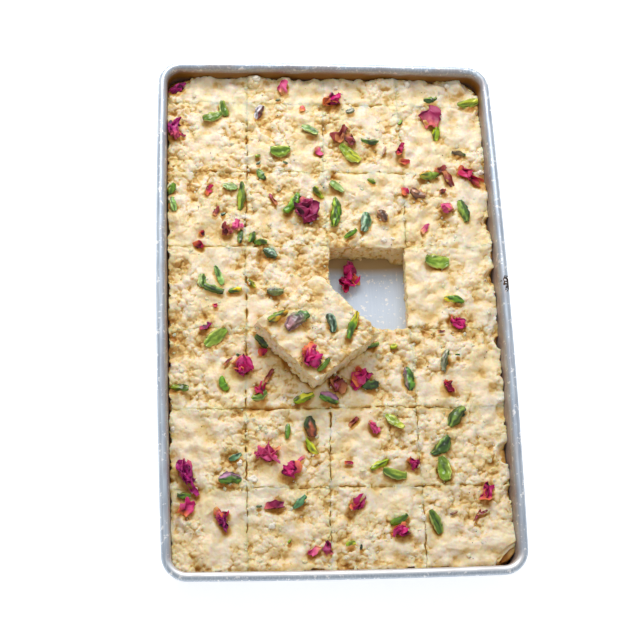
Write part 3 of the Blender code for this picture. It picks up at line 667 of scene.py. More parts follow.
def free_side(points, plan, down, cell):
    """A side that stands free: its coarse and middle grains, how far it stands back, and how golden it is,
    with painted shade at its foot and in its creases.
    """
    found = [grains(points, size, SEED + seed) for size, seed, _, _ in SIDE_GRAINS]
    grown, undercut, heap, gold = FREE_FORMS.get(cell, FREE_FORMS[None])
    talus = heap * np.clip(soft_noise(points * (1, 1, 0.3), 4.5, SEED + 11) + 0.1, 0, 1)
    if cell:
        talus = talus * np.clip((plan.sum(1) - HEAP_FROM) / HEAP_GROWS, 0.1, 1.6)
    relief = 2.0 * talus * np.clip(down * 3 - 2, 0, 1) ** 1.5 - undercut * down
    # Golden tone, with painted shade at the foot and in the grains' creases
    gold_and_shade = 0.1 + gold + 0.2 * np.clip(down * 6 - 5, 0, 1)
    for grain, (_, _, height, share) in zip(found, SIDE_GRAINS):
        relief = relief + height * grain
        gold_and_shade = gold_and_shade + share * np.clip(-2 * grain, 0, 1)
    setback = -relief * np.clip(down * 8, 0, 1) - grown
    return found[0], found[1], setback, gold_and_shade


def make_block(net, steps, corners, foot, top, free, sweet, cell=None):
    """Shape one cut block from a unit net: crumbly top, ragged cut edges, rough free sides."""
    mesh = net.copy()
    unit = coordinates(mesh)
    ring = np.rint(-unit[:, 2])
    down = (ring / ring.max()) ** (1.0 if any(free) else 2.0)
    plan, side_gaps, (across, along), length = laid_out(unit, steps, corners)
    shift = 0.0 if cell else LIFTED_NOISE_SHIFT
    noise_shift = np.array((0.0, 0.0, shift * 100))

    # Sides: pressed shut or gaping along the cuts, lumpy at the wall, rough with a ragged foot where free
    base = top + crag_heights(plan, shift)
    points = np.column_stack((plan, base + (foot - base) * down)) + noise_shift
    ragged = 0.5 + 0.5 * soft_noise(points, 2.6, SEED + 6)
    reach = 1.5 + 0.9 * soft_noise(points, 5.0, SEED + 5)
    coarse_side, middle_side, setback, bare_gold_and_shade = free_side(points, plan, down, cell)
    beside = cuts_beside(*cell, plan) if cell else [None] * 4
    edge = np.zeros(len(plan))
    wear = np.zeros(len(plan))
    wall_shade = np.zeros(len(plan))
    bare = np.zeros(len(plan), bool)
    moved = plan.copy()
    inwards = (across, -across, along, -along)
    for side, (gap, cut, is_free, inward) in enumerate(zip(side_gaps, beside, free, inwards)):
        nearness = np.clip(1 - gap / reach, 0, 1) ** 2
        if is_free:
            crumbled = sweet.edge_crumble / MM * (2.2 * ragged - 1.0) - 0.9 * coarse_side
            push = crumbled * (1 - down) + setback
            bare |= gap < 0.01
            rounding = np.clip(1 - gap / (2 * reach), 0, 1) ** 3
            wear = np.maximum(wear, rounding * (0.2 + (0.9 if cell else 0.35) * ragged))
            gape = 0.1
        elif cut is None:
            gape = 0.35
            push = (WALL_SETBACKS[side] - 2.0 * coarse_side - 0.6 * middle_side) * (1 - down)
            # Painted shade on the sweet's top beside the wall
            wall_shade = np.maximum(wall_shade, WALL_SHADES[side] * np.clip((WALL_SHADE_REACH - gap) / 1.5, 0, 1))
        else:
            gape, wander = cut
            shut = np.clip(down * (top - foot) / CUT_DEPTHS[side], 0, 1)
            gaping = gape * (0.3 + 0.4 * (ragged - 0.5)) * (1.0 if side < 2 else 0.6) - PRESSED_SHUT
            push = gaping * (1 - shut) - PRESSED_SHUT_BELOW * shut + wander * (1 if side in (0, 2) else -1)
            gape = gape * (1.0 if side < 2 else 1.5)
        moved += np.outer(nearness * push, inward)
        edge = np.maximum(edge, nearness * np.minimum(gape, 1))
        wear = np.maximum(wear, nearness * gape * (0.15 + 0.7 * ragged))
    plan = moved

    # Top: the crags of the solids, with grains of four sizes on them, and painted shade, golden, in their
    # creases
    warp = soft_noise(points, 2.4, SEED + 16, 2)
    crags = crag_heights(plan + sweet.grain_warp / MM * warp, shift)
    points = np.column_stack((plan, top + crags + (foot - top) * down)) + noise_shift
    warped = points + sweet.grain_warp / MM * soft_noise(points, 4.0, SEED, 3)
    warped += 0.35 * sweet.grain_warp / MM * soft_noise(points, 1.1, SEED + 17, 3)
    rough = np.clip(0.8 + 1.4 * soft_noise(points * (1, 1, 0), 13.0, SEED + 1), 0.3, 1.25)
    size = sweet.grain_size / MM
    z = top + crags - wear
    # Painted shade, golden, along the cut edges, beside the walls and in the hollows
    gold_and_shade = EDGE_GOLD * edge + wall_shade + HOLLOW_GOLD * np.clip(-0.9 * crags - 0.2, 0, 1)
    felt = (rough, rough, 0.2 + 0.7 * rough, np.ones(len(plan)))
    places = (warped, warped, warped, points)
    for (scale, seed, height, gold), strength, place in zip(TOP_GRAINS, felt, places):
        grain = grains(place, size * scale, SEED + seed) * strength
        z = z + size * height * grain
        gold_and_shade = gold_and_shade + gold * creased(grain)
    z = z + (foot - z) * down
    broken = np.zeros(len(plan))
    if cell:
        leaning = np.clip(1 - np.hypot(*(plan - LEANING_PLACE).T) / LEANING_RADIUS, 0, 1) ** 0.7
        z = z + LEANING_RISE * leaning * (1 - down)
        plan = plan + np.outer(LEANING_REACH * leaning * (1 - down), (1, 0))
        uneven = 1 + 0.35 * soft_noise(points, 2.5, SEED + 7)
        broken = np.hypot(*(broken_back(plan, uneven, top - z) - plan).T)
        z = z - BREAK_SLOPE * broken * (1 - down)
        plan = broken_back(plan, uneven, top - z)
        plan = inside_tin(plan, z, np.interp(z, *zip(*WALL_GAPS)))
        gold_and_shade = gold_and_shade + shade_of_lifted(plan)
    mesh.vertices.foreach_set("co", (np.column_stack((plan, z)) * MM).ravel())
    mesh.update()

    # Colours: golden blotches, and painted shade on slopes that face the near end, under the toppings, at
    # breaks and on the sides hidden in the cuts; and how much is strewn on it
    slopes = slope_to_far(unit, steps, ring, z, along, length)
    blotches = np.clip(2.4 * soft_noise(points * (0.6, 1, 0), 2.6, SEED + 20) - 0.3, 0, 1)
    gold_and_shade = gold_and_shade + SLOPE_GOLD * np.clip(1.1 * slopes - 0.12, 0, 1) + BLOTCH_GOLD * blotches
    gold_and_shade = gold_and_shade + SHADE_GOLD * shade_of_toppings(plan) + BREAK_GOLD * np.clip(broken - 3, 0, 4)
    side_gold_and_shade = np.where(bare, bare_gold_and_shade, HIDDEN_GOLD)
    side_gold_and_shade = side_gold_and_shade + BREAK_SIDE_GOLD * np.clip(broken - 3, 0, 4)
    add_attribute(mesh, "gold_and_shade", np.clip(np.where(ring == 0, gold_and_shade, side_gold_and_shade), 0, 1))
    strewn = (0.2 + 0.8 * rough + 1.2 * edge) * (ring == 0) + 0.5 * bare * (ring > 0)
    if cell:
        strewn = strewn * (np.abs(inside_tin(plan, z, CRUMB_GAP) - plan).max(1) < 0.01)
    add_attribute(mesh, "loose", strewn * (down < 0.97))
    return mesh


def set_inputs(node, **values):
    """Set a node's inputs, named with underscores for spaces."""
    for label, value in values.items():
        node.inputs[label.replace("_", " ")].default_value = value


def add_node(tree, kind, operation=None, **values):
    """A new node with its operation and its inputs' values."""
    node = tree.nodes.new(kind)
    if operation:
        node.operation = operation
    set_inputs(node, **values)
    return node


def named_group(name, inputs, outputs):
    """A new shader node group with its sockets, and its two end nodes."""
    tree = bpy.data.node_groups.new(name, "ShaderNodeTree")
    for label, kind, value in inputs:
        socket = tree.interface.new_socket(label, in_out="INPUT", socket_type=kind)
        if value is not None:
            socket.default_value = value
    for label, kind in outputs:
        tree.interface.new_socket(label, in_out="OUTPUT", socket_type=kind)
    return tree, tree.nodes.new("NodeGroupInput"), tree.nodes.new("NodeGroupOutput")


def mottle_group():
    """Two colours in soft patches of a given size."""
    tree, given, result = named_group(
        "Mottle",
        (("Colour", "NodeSocketColor", None), ("Patch Colour", "NodeSocketColor", None),
         ("Patch Size", "NodeSocketFloat", 0.01), ("Amount", "NodeSocketFloat", 0.5)),
        (("Colour", "NodeSocketColor"),),
    )
    place = add_node(tree, "ShaderNodeTexCoord")
    scale = add_node(tree, "ShaderNodeMath", "DIVIDE", Value=1.0)
    patches = add_node(tree, "ShaderNodeTexNoise", Detail=3.0)
    share = add_node(tree, "ShaderNodeMapRange", From_Min=0.4, From_Max=0.65)
    mix = add_node(tree, "ShaderNodeMix")
    mix.data_type = "RGBA"
    link = tree.links.new
    link(given.outputs["Patch Size"], scale.inputs[1])
    link(place.outputs["Object"], patches.inputs["Vector"])
    link(scale.outputs[0], patches.inputs["Scale"])
    link(patches.outputs["Fac"], share.inputs["Value"])
    link(given.outputs["Amount"], share.inputs["To Max"])
    link(share.outputs["Result"], mix.inputs["Factor"])
    link(given.outputs["Colour"], mix.inputs["A"])
    link(given.outputs["Patch Colour"], mix.inputs["B"])
    link(mix.outputs["Result"], result.inputs["Colour"])
    return tree


def grain_group():
    """Fine bumps of a given size and depth, as a normal, with the same bumps as a mask."""
    tree, given, result = named_group(
        "Fine grain",
        (("Grain Size", "NodeSocketFloat", 0.0005), ("Depth", "NodeSocketFloat", 0.0001),
         ("Stretch", "NodeSocketVector", (1.0, 1.0, 1.0))),
        (("Normal", "NodeSocketVector"), ("Mask", "NodeSocketFloat")),
    )
    place = add_node(tree, "ShaderNodeTexCoord")
    stretch = add_node(tree, "ShaderNodeVectorMath", "MULTIPLY")
    scale = add_node(tree, "ShaderNodeMath", "DIVIDE", Value=1.0)
    bumps = add_node(tree, "ShaderNodeTexNoise", Detail=2.0)
    bump = add_node(tree, "ShaderNodeBump")
    link = tree.links.new
    link(place.outputs["Object"], stretch.inputs[0])
    link(given.outputs["Stretch"], stretch.inputs[1])
    link(given.outputs["Grain Size"], scale.inputs[1])
    link(stretch.outputs["Vector"], bumps.inputs["Vector"])
    link(scale.outputs[0], bumps.inputs["Scale"])
    link(bumps.outputs["Fac"], bump.inputs["Height"])
    link(given.outputs["Depth"], bump.inputs["Distance"])
    link(bump.outputs["Normal"], result.inputs["Normal"])
    link(bumps.outputs["Fac"], result.inputs["Mask"])
    return tree


def patch_group():
    """A mask that is 1 at a place and falls to 0 at a given reach along each axis."""
    tree, given, result = named_group(
        "Patch",
        (("Centre", "NodeSocketVector", (0.0, 0.0, 0.0)), ("Reach", "NodeSocketVector", (0.01, 0.01, 0.01))),
        (("Mask", "NodeSocketFloat"),),
    )
    place = add_node(tree, "ShaderNodeTexCoord")
    away = add_node(tree, "ShaderNodeVectorMath", "SUBTRACT")
    shares = add_node(tree, "ShaderNodeVectorMath", "DIVIDE")
    distance = add_node(tree, "ShaderNodeVectorMath", "LENGTH")
    mask = add_node(tree, "ShaderNodeMapRange", From_Min=1.0, From_Max=0.0)
    link = tree.links.new
    link(place.outputs["Object"], away.inputs[0])
    link(given.outputs["Centre"], away.inputs[1])
    link(away.outputs["Vector"], shares.inputs[0])
    link(given.outputs["Reach"], shares.inputs[1])
    link(shares.outputs["Vector"], distance.inputs[0])
    link(distance.outputs["Value"], mask.inputs["Value"])
    link(mask.outputs["Result"], result.inputs["Mask"])
    return tree


def shared_group(name, make):
    """The named node group, built the first time that it is asked for."""
    return bpy.data.node_groups.get(name) or make()


def new_finish(name):
    """A new material and its node tree, Principled shader and link maker."""
    made = bpy.data.materials.new(name)
    made.use_nodes = True
    tree = made.node_tree
    return made, tree, tree.nodes["Principled BSDF"], tree.links.new


def place_group(tree, name, make, **values):
    """Put a shared group in a material and set its inputs."""
    node = tree.nodes.new("ShaderNodeGroup")
    node.node_tree = shared_group(name, make)
    set_inputs(node, **values)
    return node


def read_attribute(tree, name):
    """A node that reads a value from the points of the mesh."""
    node = tree.nodes.new("ShaderNodeAttribute")
    node.attribute_name = name
    return node


def mix_by(tree, factor, first, second, low, high):
    """Mix a linked colour with a plain one as a value goes from low to high."""
    share = add_node(tree, "ShaderNodeMapRange", From_Min=low, From_Max=high)
    mix = tree.nodes.new("ShaderNodeMix")
    mix.data_type = "RGBA"
    mix.inputs["B"].default_value = second
    tree.links.new(factor, share.inputs["Value"])
    tree.links.new(share.outputs["Result"], mix.inputs["Factor"])
    tree.links.new(first, mix.inputs["A"])
    return mix.outputs["Result"]


def sweet_finish(sweet):
    """Moist, grainy milk sweet: cream on its grains, and golden in its pits, partly its own tone and partly
    painted shade.
    """
    made, tree, shader, link = new_finish("milk sweet")
    gold_and_shade = read_attribute(tree, "gold_and_shade")
    mottle = place_group(tree, "Mottle", mottle_group, Colour=sweet.cream, Patch_Colour=sweet.butter,
                         Patch_Size=0.012, Amount=0.8)
    grain = place_group(tree, "Fine grain", grain_group, Grain_Size=0.0009, Depth=0.00014)
    honeyed = mix_by(tree, gold_and_shade.outputs["Fac"], mottle.outputs["Colour"], sweet.honey, 0.1, 0.55)
    toned = mix_by(tree, gold_and_shade.outputs["Fac"], honeyed, sweet.golden, 0.4, 1.0)
    link(toned, shader.inputs["Base Color"])
    link(grain.outputs["Normal"], shader.inputs["Normal"])
    set_inputs(shader, Roughness=0.45, Specular_IOR_Level=0.45, Subsurface_Weight=0.6,
               Subsurface_Radius=(1.0, 0.5, 0.2), Subsurface_Scale=0.003)
    return made


def tinted_finish(name, grain_size, depth, roughness, coat=0.0):
    """A finish that takes its colour from the tint on each point, with fine grain over it."""
    made, tree, shader, link = new_finish(name)
    tint = read_attribute(tree, "tint")
    grain = place_group(tree, "Fine grain", grain_group, Grain_Size=grain_size, Depth=depth)
    shade = add_node(tree, "ShaderNodeMapRange", To_Min=0.75, To_Max=1.2)
    mix = add_node(tree, "ShaderNodeVectorMath", "SCALE")
    link(grain.outputs["Mask"], shade.inputs["Value"])
    link(tint.outputs["Color"], mix.inputs["Vector"])
    link(shade.outputs["Result"], mix.inputs["Scale"])
    link(mix.outputs["Vector"], shader.inputs["Base Color"])
    link(grain.outputs["Normal"], shader.inputs["Normal"])
    set_inputs(shader, Roughness=roughness, Coat_Weight=coat, Coat_Roughness=0.15)
    return made


def metal_finish(tin):
    """Brushed aluminium with small scratches and pale specks, with painted shade and painted reflection of
    the sweet on its wall and floor, and a painted highlight on its near bead.
    """
    made, tree, shader, link = new_finish("brushed aluminium")
    mottle = place_group(tree, "Mottle", mottle_group, Colour=tin.metal, Patch_Colour=tin.dull_metal,
                         Patch_Size=0.012, Amount=0.7)
    grain = place_group(tree, "Fine grain", grain_group, Grain_Size=0.0009, Depth=0.00004,
                        Stretch=(1.0, 0.05, 1.0))
    specks = place_group(tree, "Fine grain", grain_group, Grain_Size=0.0022, Depth=0.00005)
    scuff = place_group(tree, "Patch", patch_group, Centre=SCUFF_PLACE, Reach=SCUFF_REACH)
    floor_shade = place_group(tree, "Patch", patch_group, Centre=FLOOR_SHADE_PLACE, Reach=FLOOR_SHADE_REACH)
    worn, painted_highlight, shade_and_reflection = (read_attribute(tree, name).outputs["Fac"] for name in ("worn", "painted_highlight", "shade_and_reflection"))
    blotch = add_node(tree, "ShaderNodeMath", "MULTIPLY_ADD")
    blotch.inputs[1].default_value = 2.0
    link(specks.outputs["Mask"], blotch.inputs[0])
    link(scuff.outputs["Mask"], blotch.inputs[2])

    # From the bare metal to what lies on it, then painted highlight, shade and reflection: what mixes a
    # colour in, the colour, and from where to where
    colour = mottle.outputs["Colour"]
    layers = (
        (grain.outputs["Mask"], tin.pale_metal, 0.45, 0.75),
        (worn, tin.worn_metal, 0.0, 1.2),
        (blotch.outputs[0], tin.scuff, 1.4, 1.55),
        (specks.outputs["Mask"], tin.specks, 0.61, 0.67),
        (painted_highlight, tin.specks, 0.0, 1.0),
        (floor_shade.outputs["Mask"], tin.floor_shade, 0.0, 0.55),
        (shade_and_reflection, tin.shade_and_reflection, 0.0, 1.0),
    )
    for factor, layer, low, high in layers:
        colour = mix_by(tree, factor, colour, layer, low, high)
    link(colour, shader.inputs["Base Color"])
    link(grain.outputs["Normal"], shader.inputs["Normal"])
    dull = add_node(tree, "ShaderNodeMath", "MAXIMUM")
    gloss = add_node(tree, "ShaderNodeMapRange", To_Min=0.6, To_Max=0.15)
    link(shade_and_reflection, dull.inputs[0])
    link(worn, dull.inputs[1])
    link(dull.outputs[0], gloss.inputs["Value"])
    link(gloss.outputs["Result"], shader.inputs["Metallic"])
    set_inputs(shader, Roughness=0.42)
    return made


def floor_finish(stage):
    """Plain pale floor."""
    made, tree, shader, link = new_finish("pale floor")
    set_inputs(shader, Base_Color=stage.floor_colour, Roughness=0.9, Emission_Color=stage.floor_colour,
               Emission_Strength=0.55)
    return made


def bowed(x, y, z):
    """Push a point of the tin outwards: the sides bulge at their middles, most at the rim."""
    share = z / TIN_TOP
    bulge_x = LONG_SIDE_BOW * share * (1 - (y / INNER_HALF_LENGTH) ** 2)
    bulge_y = SHORT_SIDE_BOW * share * (1 - (x / INNER_HALF_WIDTH) ** 2)
    return Vector((x + x / INNER_HALF_WIDTH * bulge_x, y + y / INNER_HALF_LENGTH * bulge_y, z))


def tin_ring(outset, z):
    """Points of a rounded oblong, set out from the inner wall's top outline."""
    half_x = INNER_HALF_WIDTH + outset
    half_y = INNER_HALF_LENGTH + outset
    radius = INNER_CORNER_RADIUS + outset
    points = []
    for corner, (side_x, side_y) in enumerate(((1, 1), (-1, 1), (-1, -1), (1, -1))):
        centre = Vector((side_x * (half_x - radius), side_y * (half_y - radius)))
        for step in range(TIN_CORNER_STEPS + 1):
            angle = math.pi / 2 * (corner + step / TIN_CORNER_STEPS)
            points.append(centre + radius * Vector((math.cos(angle), math.sin(angle))))
        along_x = corner % 2 == 0
        steps = TIN_SHORT_STEPS if along_x else TIN_LONG_STEPS
        start = points[-1].copy()
        end = Vector((-start.x, start.y)) if along_x else Vector((start.x, -start.y))
        points.extend(start.lerp(end, step / steps) for step in range(1, steps))
    return [bowed(point.x, point.y, z) for point in points]


def arc(centre_outset, centre_z, radius, start, end, steps):
    """(outset, z) pairs along an arc, with its angles in degrees."""
    pairs = []
    for step in range(steps + 1):
        angle = math.radians(start + (end - start) * step / steps)
        pairs.append((centre_outset + radius * math.cos(angle), centre_z + radius * math.sin(angle)))
    return pairs


def tin_section():
    """The tin's section from the middle of its underside, over the bead, to its floor inside."""
    floor_outset = -WALL_LEAN - FOOT_RADIUS
    foot_height = SHEET + FOOT_RADIUS
    bead_height = TIN_TOP - BEAD_RADIUS
    outer_foot = arc(floor_outset, foot_height, FOOT_RADIUS + SHEET, -90, 0, 8)
    bead = arc(BEAD_OUTSET, bead_height, BEAD_RADIUS, -100, 180, 26)
    inner_foot = arc(floor_outset, foot_height, FOOT_RADIUS, 0, -90, 8)
    outer_wall = [(SHEET, bead_height - 0.8 * BEAD_RADIUS)]
    inner_wall = [(-WALL_LEAN * (1 - z / TIN_TOP), z) for z in INNER_WALL_HEIGHTS]
    return outer_foot + outer_wall + bead, inner_wall + inner_foot


class Pile:
    """Small closed shapes gathered into one mesh, with a colour on every point."""

    def __init__(self):
        self.points = []
        self.faces = []
        self.tints = []
        self.count = 0

    def add(self, points, faces, tints):
        self.points.append(points)
        self.faces.append(faces + self.count)
        self.tints.append(tints)
        self.count += len(points)

    def mesh(self, name):
        made = bpy.data.meshes.new(name)
        made.from_pydata((np.vstack(self.points) * MM).tolist(), [], np.vstack(self.faces).tolist())
        add_attribute(made, "tint", np.vstack(self.tints))
        return made


def pillow(steps_along, steps_across):
    """A closed net of two sheets that share their border: its places (s, t), side and faces."""
    rows, columns = steps_along + 1, steps_across + 1
    upper = np.arange(rows * columns).reshape(rows, columns)
    lower = upper.copy()
    inner = (rows - 2) * (columns - 2)
    lower[1:-1, 1:-1] = rows * columns + np.arange(inner).reshape(rows - 2, columns - 2)
    corners = (slice(None, -1), slice(1, None))
    low, high = corners
    faces = []
    for sheet, order in ((upper, 1), (lower, -1)):
        quads = (sheet[low, low], sheet[high, low], sheet[high, high], sheet[low, high])
        faces.append(np.stack(quads[::order], axis=-1).reshape(-1, 4))
    s, t = np.meshgrid(0.5 - 0.5 * np.cos(np.pi * np.arange(rows) / steps_along),
                       -np.cos(np.pi * np.arange(columns) / steps_across), indexing="ij")
    places = np.column_stack((s.ravel(), t.ravel()))
    inside = upper[1:-1, 1:-1].ravel()
    side = np.zeros(rows * columns)
    side[inside] = 1
    places = np.vstack((places, places[inside]))
    return places, np.concatenate((side, -np.ones(inner))), np.vstack(faces)


def as_colour(red, green, blue):
    """A colour as a screen shows it, as an array."""
    return np.array(linear(red, green, blue))


def blend(first, second, share):
    """Two colours mixed point by point."""
    return first + (second - first) * np.clip(share, 0, 1)[:, None]


def turned(points, angle, axis):
    """Points turned about an axis through the origin, by an angle in degrees."""
    turn = np.array(Matrix.Rotation(math.radians(angle), 3, axis))
    return points @ turn.T


def nut(length, width, tone, rng):
    """A piece of pistachio: half a kernel, cut face or wrinkled skin up, or a sliver with a ridge."""
    first, second, tipward, sideward, face_up = NUT_TONES[tone]
    plump = width >= NUT_SMALLEST_HALF
    face_up = face_up and plump
    places, side, faces = pillow(*(NUT_FINE_NET if length > NUT_FINE_FROM else NUT_NET))
    s, t = places.T
    start, end = rng.uniform(0.04, 0.14), rng.uniform(0.86, 0.96)
    frays = soft_noise(np.column_stack((s * 8, side, t * 0)), 1.0, rng.integers(1000))
    skew = rng.uniform(0.8, 1.25)
    outline = np.sin(np.pi * (start + (end - start) * s ** skew)) ** 0.6 * (1 + 0.16 * frays)
    skin = np.column_stack((s * length, t * width / 2, side * width / 2))
    wrinkles = soft_noise(skin * (0.35, 1, 1), 0.9, rng.integers(1000))
    streaks = soft_noise(skin * (0.2, 1, 1), 1.4, rng.integers(1000))
    bends = soft_noise(skin * (0.5, 1, 1), 2.2, rng.integers(1000))
    ridge = rng.uniform(-0.45, 0.45) * (abs(sideward) < 0.9) + 0.2 * bends
    dome = np.sqrt(np.clip(1 - t * t, 0, 1))
    tent = np.minimum((1 + t) / (1 + ridge), (1 - t) / (1 - ridge))
    facet = np.clip(4 * (t - ridge), -1, 1)
    height = width * rng.uniform(0.6, 0.75)
    if face_up:
        groove = np.exp(-(5 * (t - 0.3 * bends)) ** 2) * np.sin(np.pi * s)
        up = np.where(side > 0, 0.16 * height * dome * (1 - 0.6 * groove), -0.7 * height * dome)
        facet = t
    else:
        groove = 0
        round_share = 0.6 if plump else 0.2
        top = round_share * dome + (1 - round_share) * tent
        up = np.where(side > 0, 0.8 * top, -0.25 * dome) * height
    up = outline * (up + side * dome * (0.4 * wrinkles + 0.4 * bends) * min(1.0, width / 5))
    bend = rng.uniform(-0.18, 0.18) * width
    y = t * outline * width / 2 * (1 + 0.15 * bends) + bend * (4 * (s - 0.5) ** 2 - 0.5)
    up = up + rng.uniform(0.0, 0.15) * width * 4 * (s - 0.5) ** 2
    points = np.column_stack(((s - 0.5) * length, y, up))
    points += 0.08 * width * soft_noise(skin, 1.6, rng.integers(1000), 3) * (0.3, 1, 1)
    points = turned(points, rng.uniform(5, 22) * rng.choice((-1, 1)), "X")
    points[:, 2] -= np.percentile(points[:, 2], 8)

    streaky = (0.7 if face_up else 1.3) * streaks
    share = tipward * (s - 0.45) * 2 + sideward * facet + 0.6 * bends + streaky + 0.15
    tints = blend(as_colour(*first), as_colour(*second), share)
    if face_up:
        tints = blend(tints, as_colour(*SKIN_COLOUR), (side < 0) * (0.9 + streaks))
        rim = np.clip((np.abs(t) - 0.75) * 4, 0, 1) * 0.8 * (side >= 0)
        tints = blend(tints, as_colour(*RIM_COLOUR), rim)
    shade = 1 + (0.4 if face_up else 1.5) * wrinkles + 0.4 * streaks - 0.3 * groove
    tints[:, :3] *= np.clip(shade, 0.3, 1.6)[:, None]
    return points, faces, tints


def crumb(radius, rng):
    """A crumb of the sweet: a round lump with smaller lumps on it."""
    bm = bmesh.new()
    bmesh.ops.create_icosphere(bm, subdivisions=4, radius=1.0)
    bmesh.ops.triangulate(bm, faces=bm.faces)
    points = np.array([vert.co for vert in bm.verts])
    faces = np.array([[vert.index for vert in face.verts] for face in bm.faces])
    bm.free()
    seed = rng.integers(1000)
    swell = 1 + 0.5 * soft_noise(points, 1.1, seed) + 0.35 * grains(points, 0.6, seed)
    return points * swell[:, None] * radius * (1, 1, 0.8), faces


def sheet(length, width, tone, rng, cup, curl, crumple, foot_share=1.0):
    """A thin crinkled petal: its foot at the start of its length, cupped, curled and crumpled."""
    places, side, faces = pillow(*PETAL_NET)
    s, t = places.T
    wave = soft_noise(np.column_stack((s * 6, t * 3, t * 0)), 1.0, rng.integers(1000))
    outline = np.sin(np.pi * np.clip(0.07 + 0.88 * s ** 0.75, 0, 1)) ** 0.6 * (1 + 0.22 * wave)
    x = (s - 0.5) * length * (1 + 0.06 * wave * t)
    y = t * outline * width / 2
    bow_x, bow_y = curl / length, cup / width
    middle = np.column_stack((
        np.sin(bow_x * x) / bow_x, np.sin(bow_y * y) / bow_y,
        (1 - np.cos(bow_x * x)) / bow_x + (1 - np.cos(bow_y * y)) / bow_y))
    folds = soft_noise(middle * (0.7, 1, 1), 0.24 * width + 0.9, rng.integers(1000), 3)
    creases = soft_noise(middle, 0.12 * width + 0.4, rng.integers(1000), 3)
    shape = middle + crumple * width * (0.34 * folds + 0.12 * creases)

    rows, columns = (steps + 1 for steps in PETAL_NET)
    grid = shape[:rows * columns].reshape(rows, columns, 3)
    normal = np.cross(np.gradient(grid, axis=0), np.gradient(grid, axis=1)).reshape(-1, 3)
    normal /= np.maximum(np.linalg.norm(normal, axis=1), 1e-9)[:, None]
    normal = np.vstack((normal, normal.reshape(rows, columns, 3)[1:-1, 1:-1].reshape(-1, 3)))
    points = shape + normal * (side * PETAL_THICKNESS / 2)[:, None]

    body, dark, foot = (as_colour(*colour) for colour in PETAL_TONES[tone])
    veins = soft_noise(np.column_stack((s * 1.5, t * 7, t * 0)), 1.0, rng.integers(1000))
    # Darker in the hollows of folds and creases as painted shade, and along the veins; paler on raised ones
    # as a painted highlight
    tints = blend(body, dark, 0.2 - 1.8 * folds[:, 2] - 0.5 * creases[:, 2] + 0.4 * veins)
    tints = blend(tints, as_colour(*PETAL_HIGHLIGHT), 0.9 * creases[:, 2] + 0.4 * folds[:, 2] - 0.4)
    tints = blend(tints, foot, foot_share * (1.2 - s / (0.34 + 0.15 * wave)))
    return points, faces, tints


def petal(length, width, tone, rng):
    """One petal that lies on the sweet."""
    made = sheet(length, width * 1.15, tone, rng, rng.uniform(0.5, 1.6), rng.uniform(0.3, 1.2), 0.75)
    return [(turned(made[0], rng.uniform(-25, 25), "X"), *made[1:])]


def stick(length, width, tone, rng):
    """A petal or a sepal rolled up thin."""
    return [sheet(length, width * 1.6, tone, rng, 3.6, rng.uniform(-0.8, 0.8), 0.5)]


def clump(length, width, tone, rng):
    """Several crumpled petals that still hang together, folded over one another."""
    parts = []
    count = 4 + int(length > 10) + 3 * int(length * width > 90)
    for index in range(count):
        share = rng.uniform(0.5, 0.8)
        points, faces, tints = sheet(
            length * share, width * share * 1.25, tone, rng, rng.uniform(1.0, 2.8) * rng.choice((-1, 1)),
            rng.uniform(0.5, 1.8) * rng.choice((-1, 1)), 0.9, float(rng.random() < 0.4 or index == 0))
        points = turned(points, rng.uniform(-70, 70), "X")
        points = turned(points, rng.uniform(-30, 30), "Y")
        points = turned(points, rng.normal(0, 45) * (index > 0) * min(1.0, 1.2 * width / length), "Z")
        points[:, 2] -= np.percentile(points[:, 2], 20)
        along = (-0.5 if index == 0 else rng.uniform(-0.45, 0.5)) * length * (1 - share)
        across = rng.uniform(-0.5, 0.5) * width * (1 - share)
        parts.append((points + (along, across, 0.35 * index), faces, tints))
    return parts


FORMS = {"petal": petal, "stick": stick, "clump": clump}


def cell_floor():
    """The tin's floor in the empty cell, marked where crumbs gather: at the foot of its walls."""
    corners = cell_corners(*EMPTY_CELL)
    bm = bmesh.new()
    bmesh.ops.create_grid(bm, x_segments=CELL_FLOOR_STEPS, y_segments=CELL_FLOOR_STEPS, size=0.5)
    mesh = bpy.data.meshes.new("cell floor")
    bm.to_mesh(mesh)
    bm.free()
    u, v = (coordinates(mesh)[:, :2] + 0.5).T
    near = corners[0] + np.outer(u, corners[1] - corners[0])
    far = corners[3] + np.outer(u, corners[2] - corners[3])
    plan = near + v[:, None] * (far - near)
    mesh.vertices.foreach_set("co", (np.column_stack((plan, np.full(len(plan), SHEET))) * MM).ravel())
    nearest, second, _ = np.sort((CELL_WIDTH * (1 - u), CELL_LENGTH * v, CELL_LENGTH * (1 - v)), axis=0)
    at_foot = 2.2 * np.clip(1 - nearest / 2, 0, 1)
    in_corners = 12 * np.clip(1 - (nearest + second) / 6, 0, 1)
    add_attribute(mesh, "loose", at_foot + in_corners)
    return bpy.data.objects.new("cell floor", mesh)


def speck_finish(loose):
    """Dark ground cardamom."""
    made, tree, shader, link = new_finish("cardamom")
    mottle = place_group(tree, "Mottle", mottle_group, Colour=loose.speck_colour,
                         Patch_Colour=loose.pale_speck_colour, Patch_Size=0.002, Amount=0.8)
    grain = place_group(tree, "Fine grain", grain_group, Grain_Size=0.0003, Depth=0.00005)
    link(mottle.outputs["Colour"], shader.inputs["Base Color"])
    link(grain.outputs["Normal"], shader.inputs["Normal"])
    set_inputs(shader, Roughness=0.7)
    return made


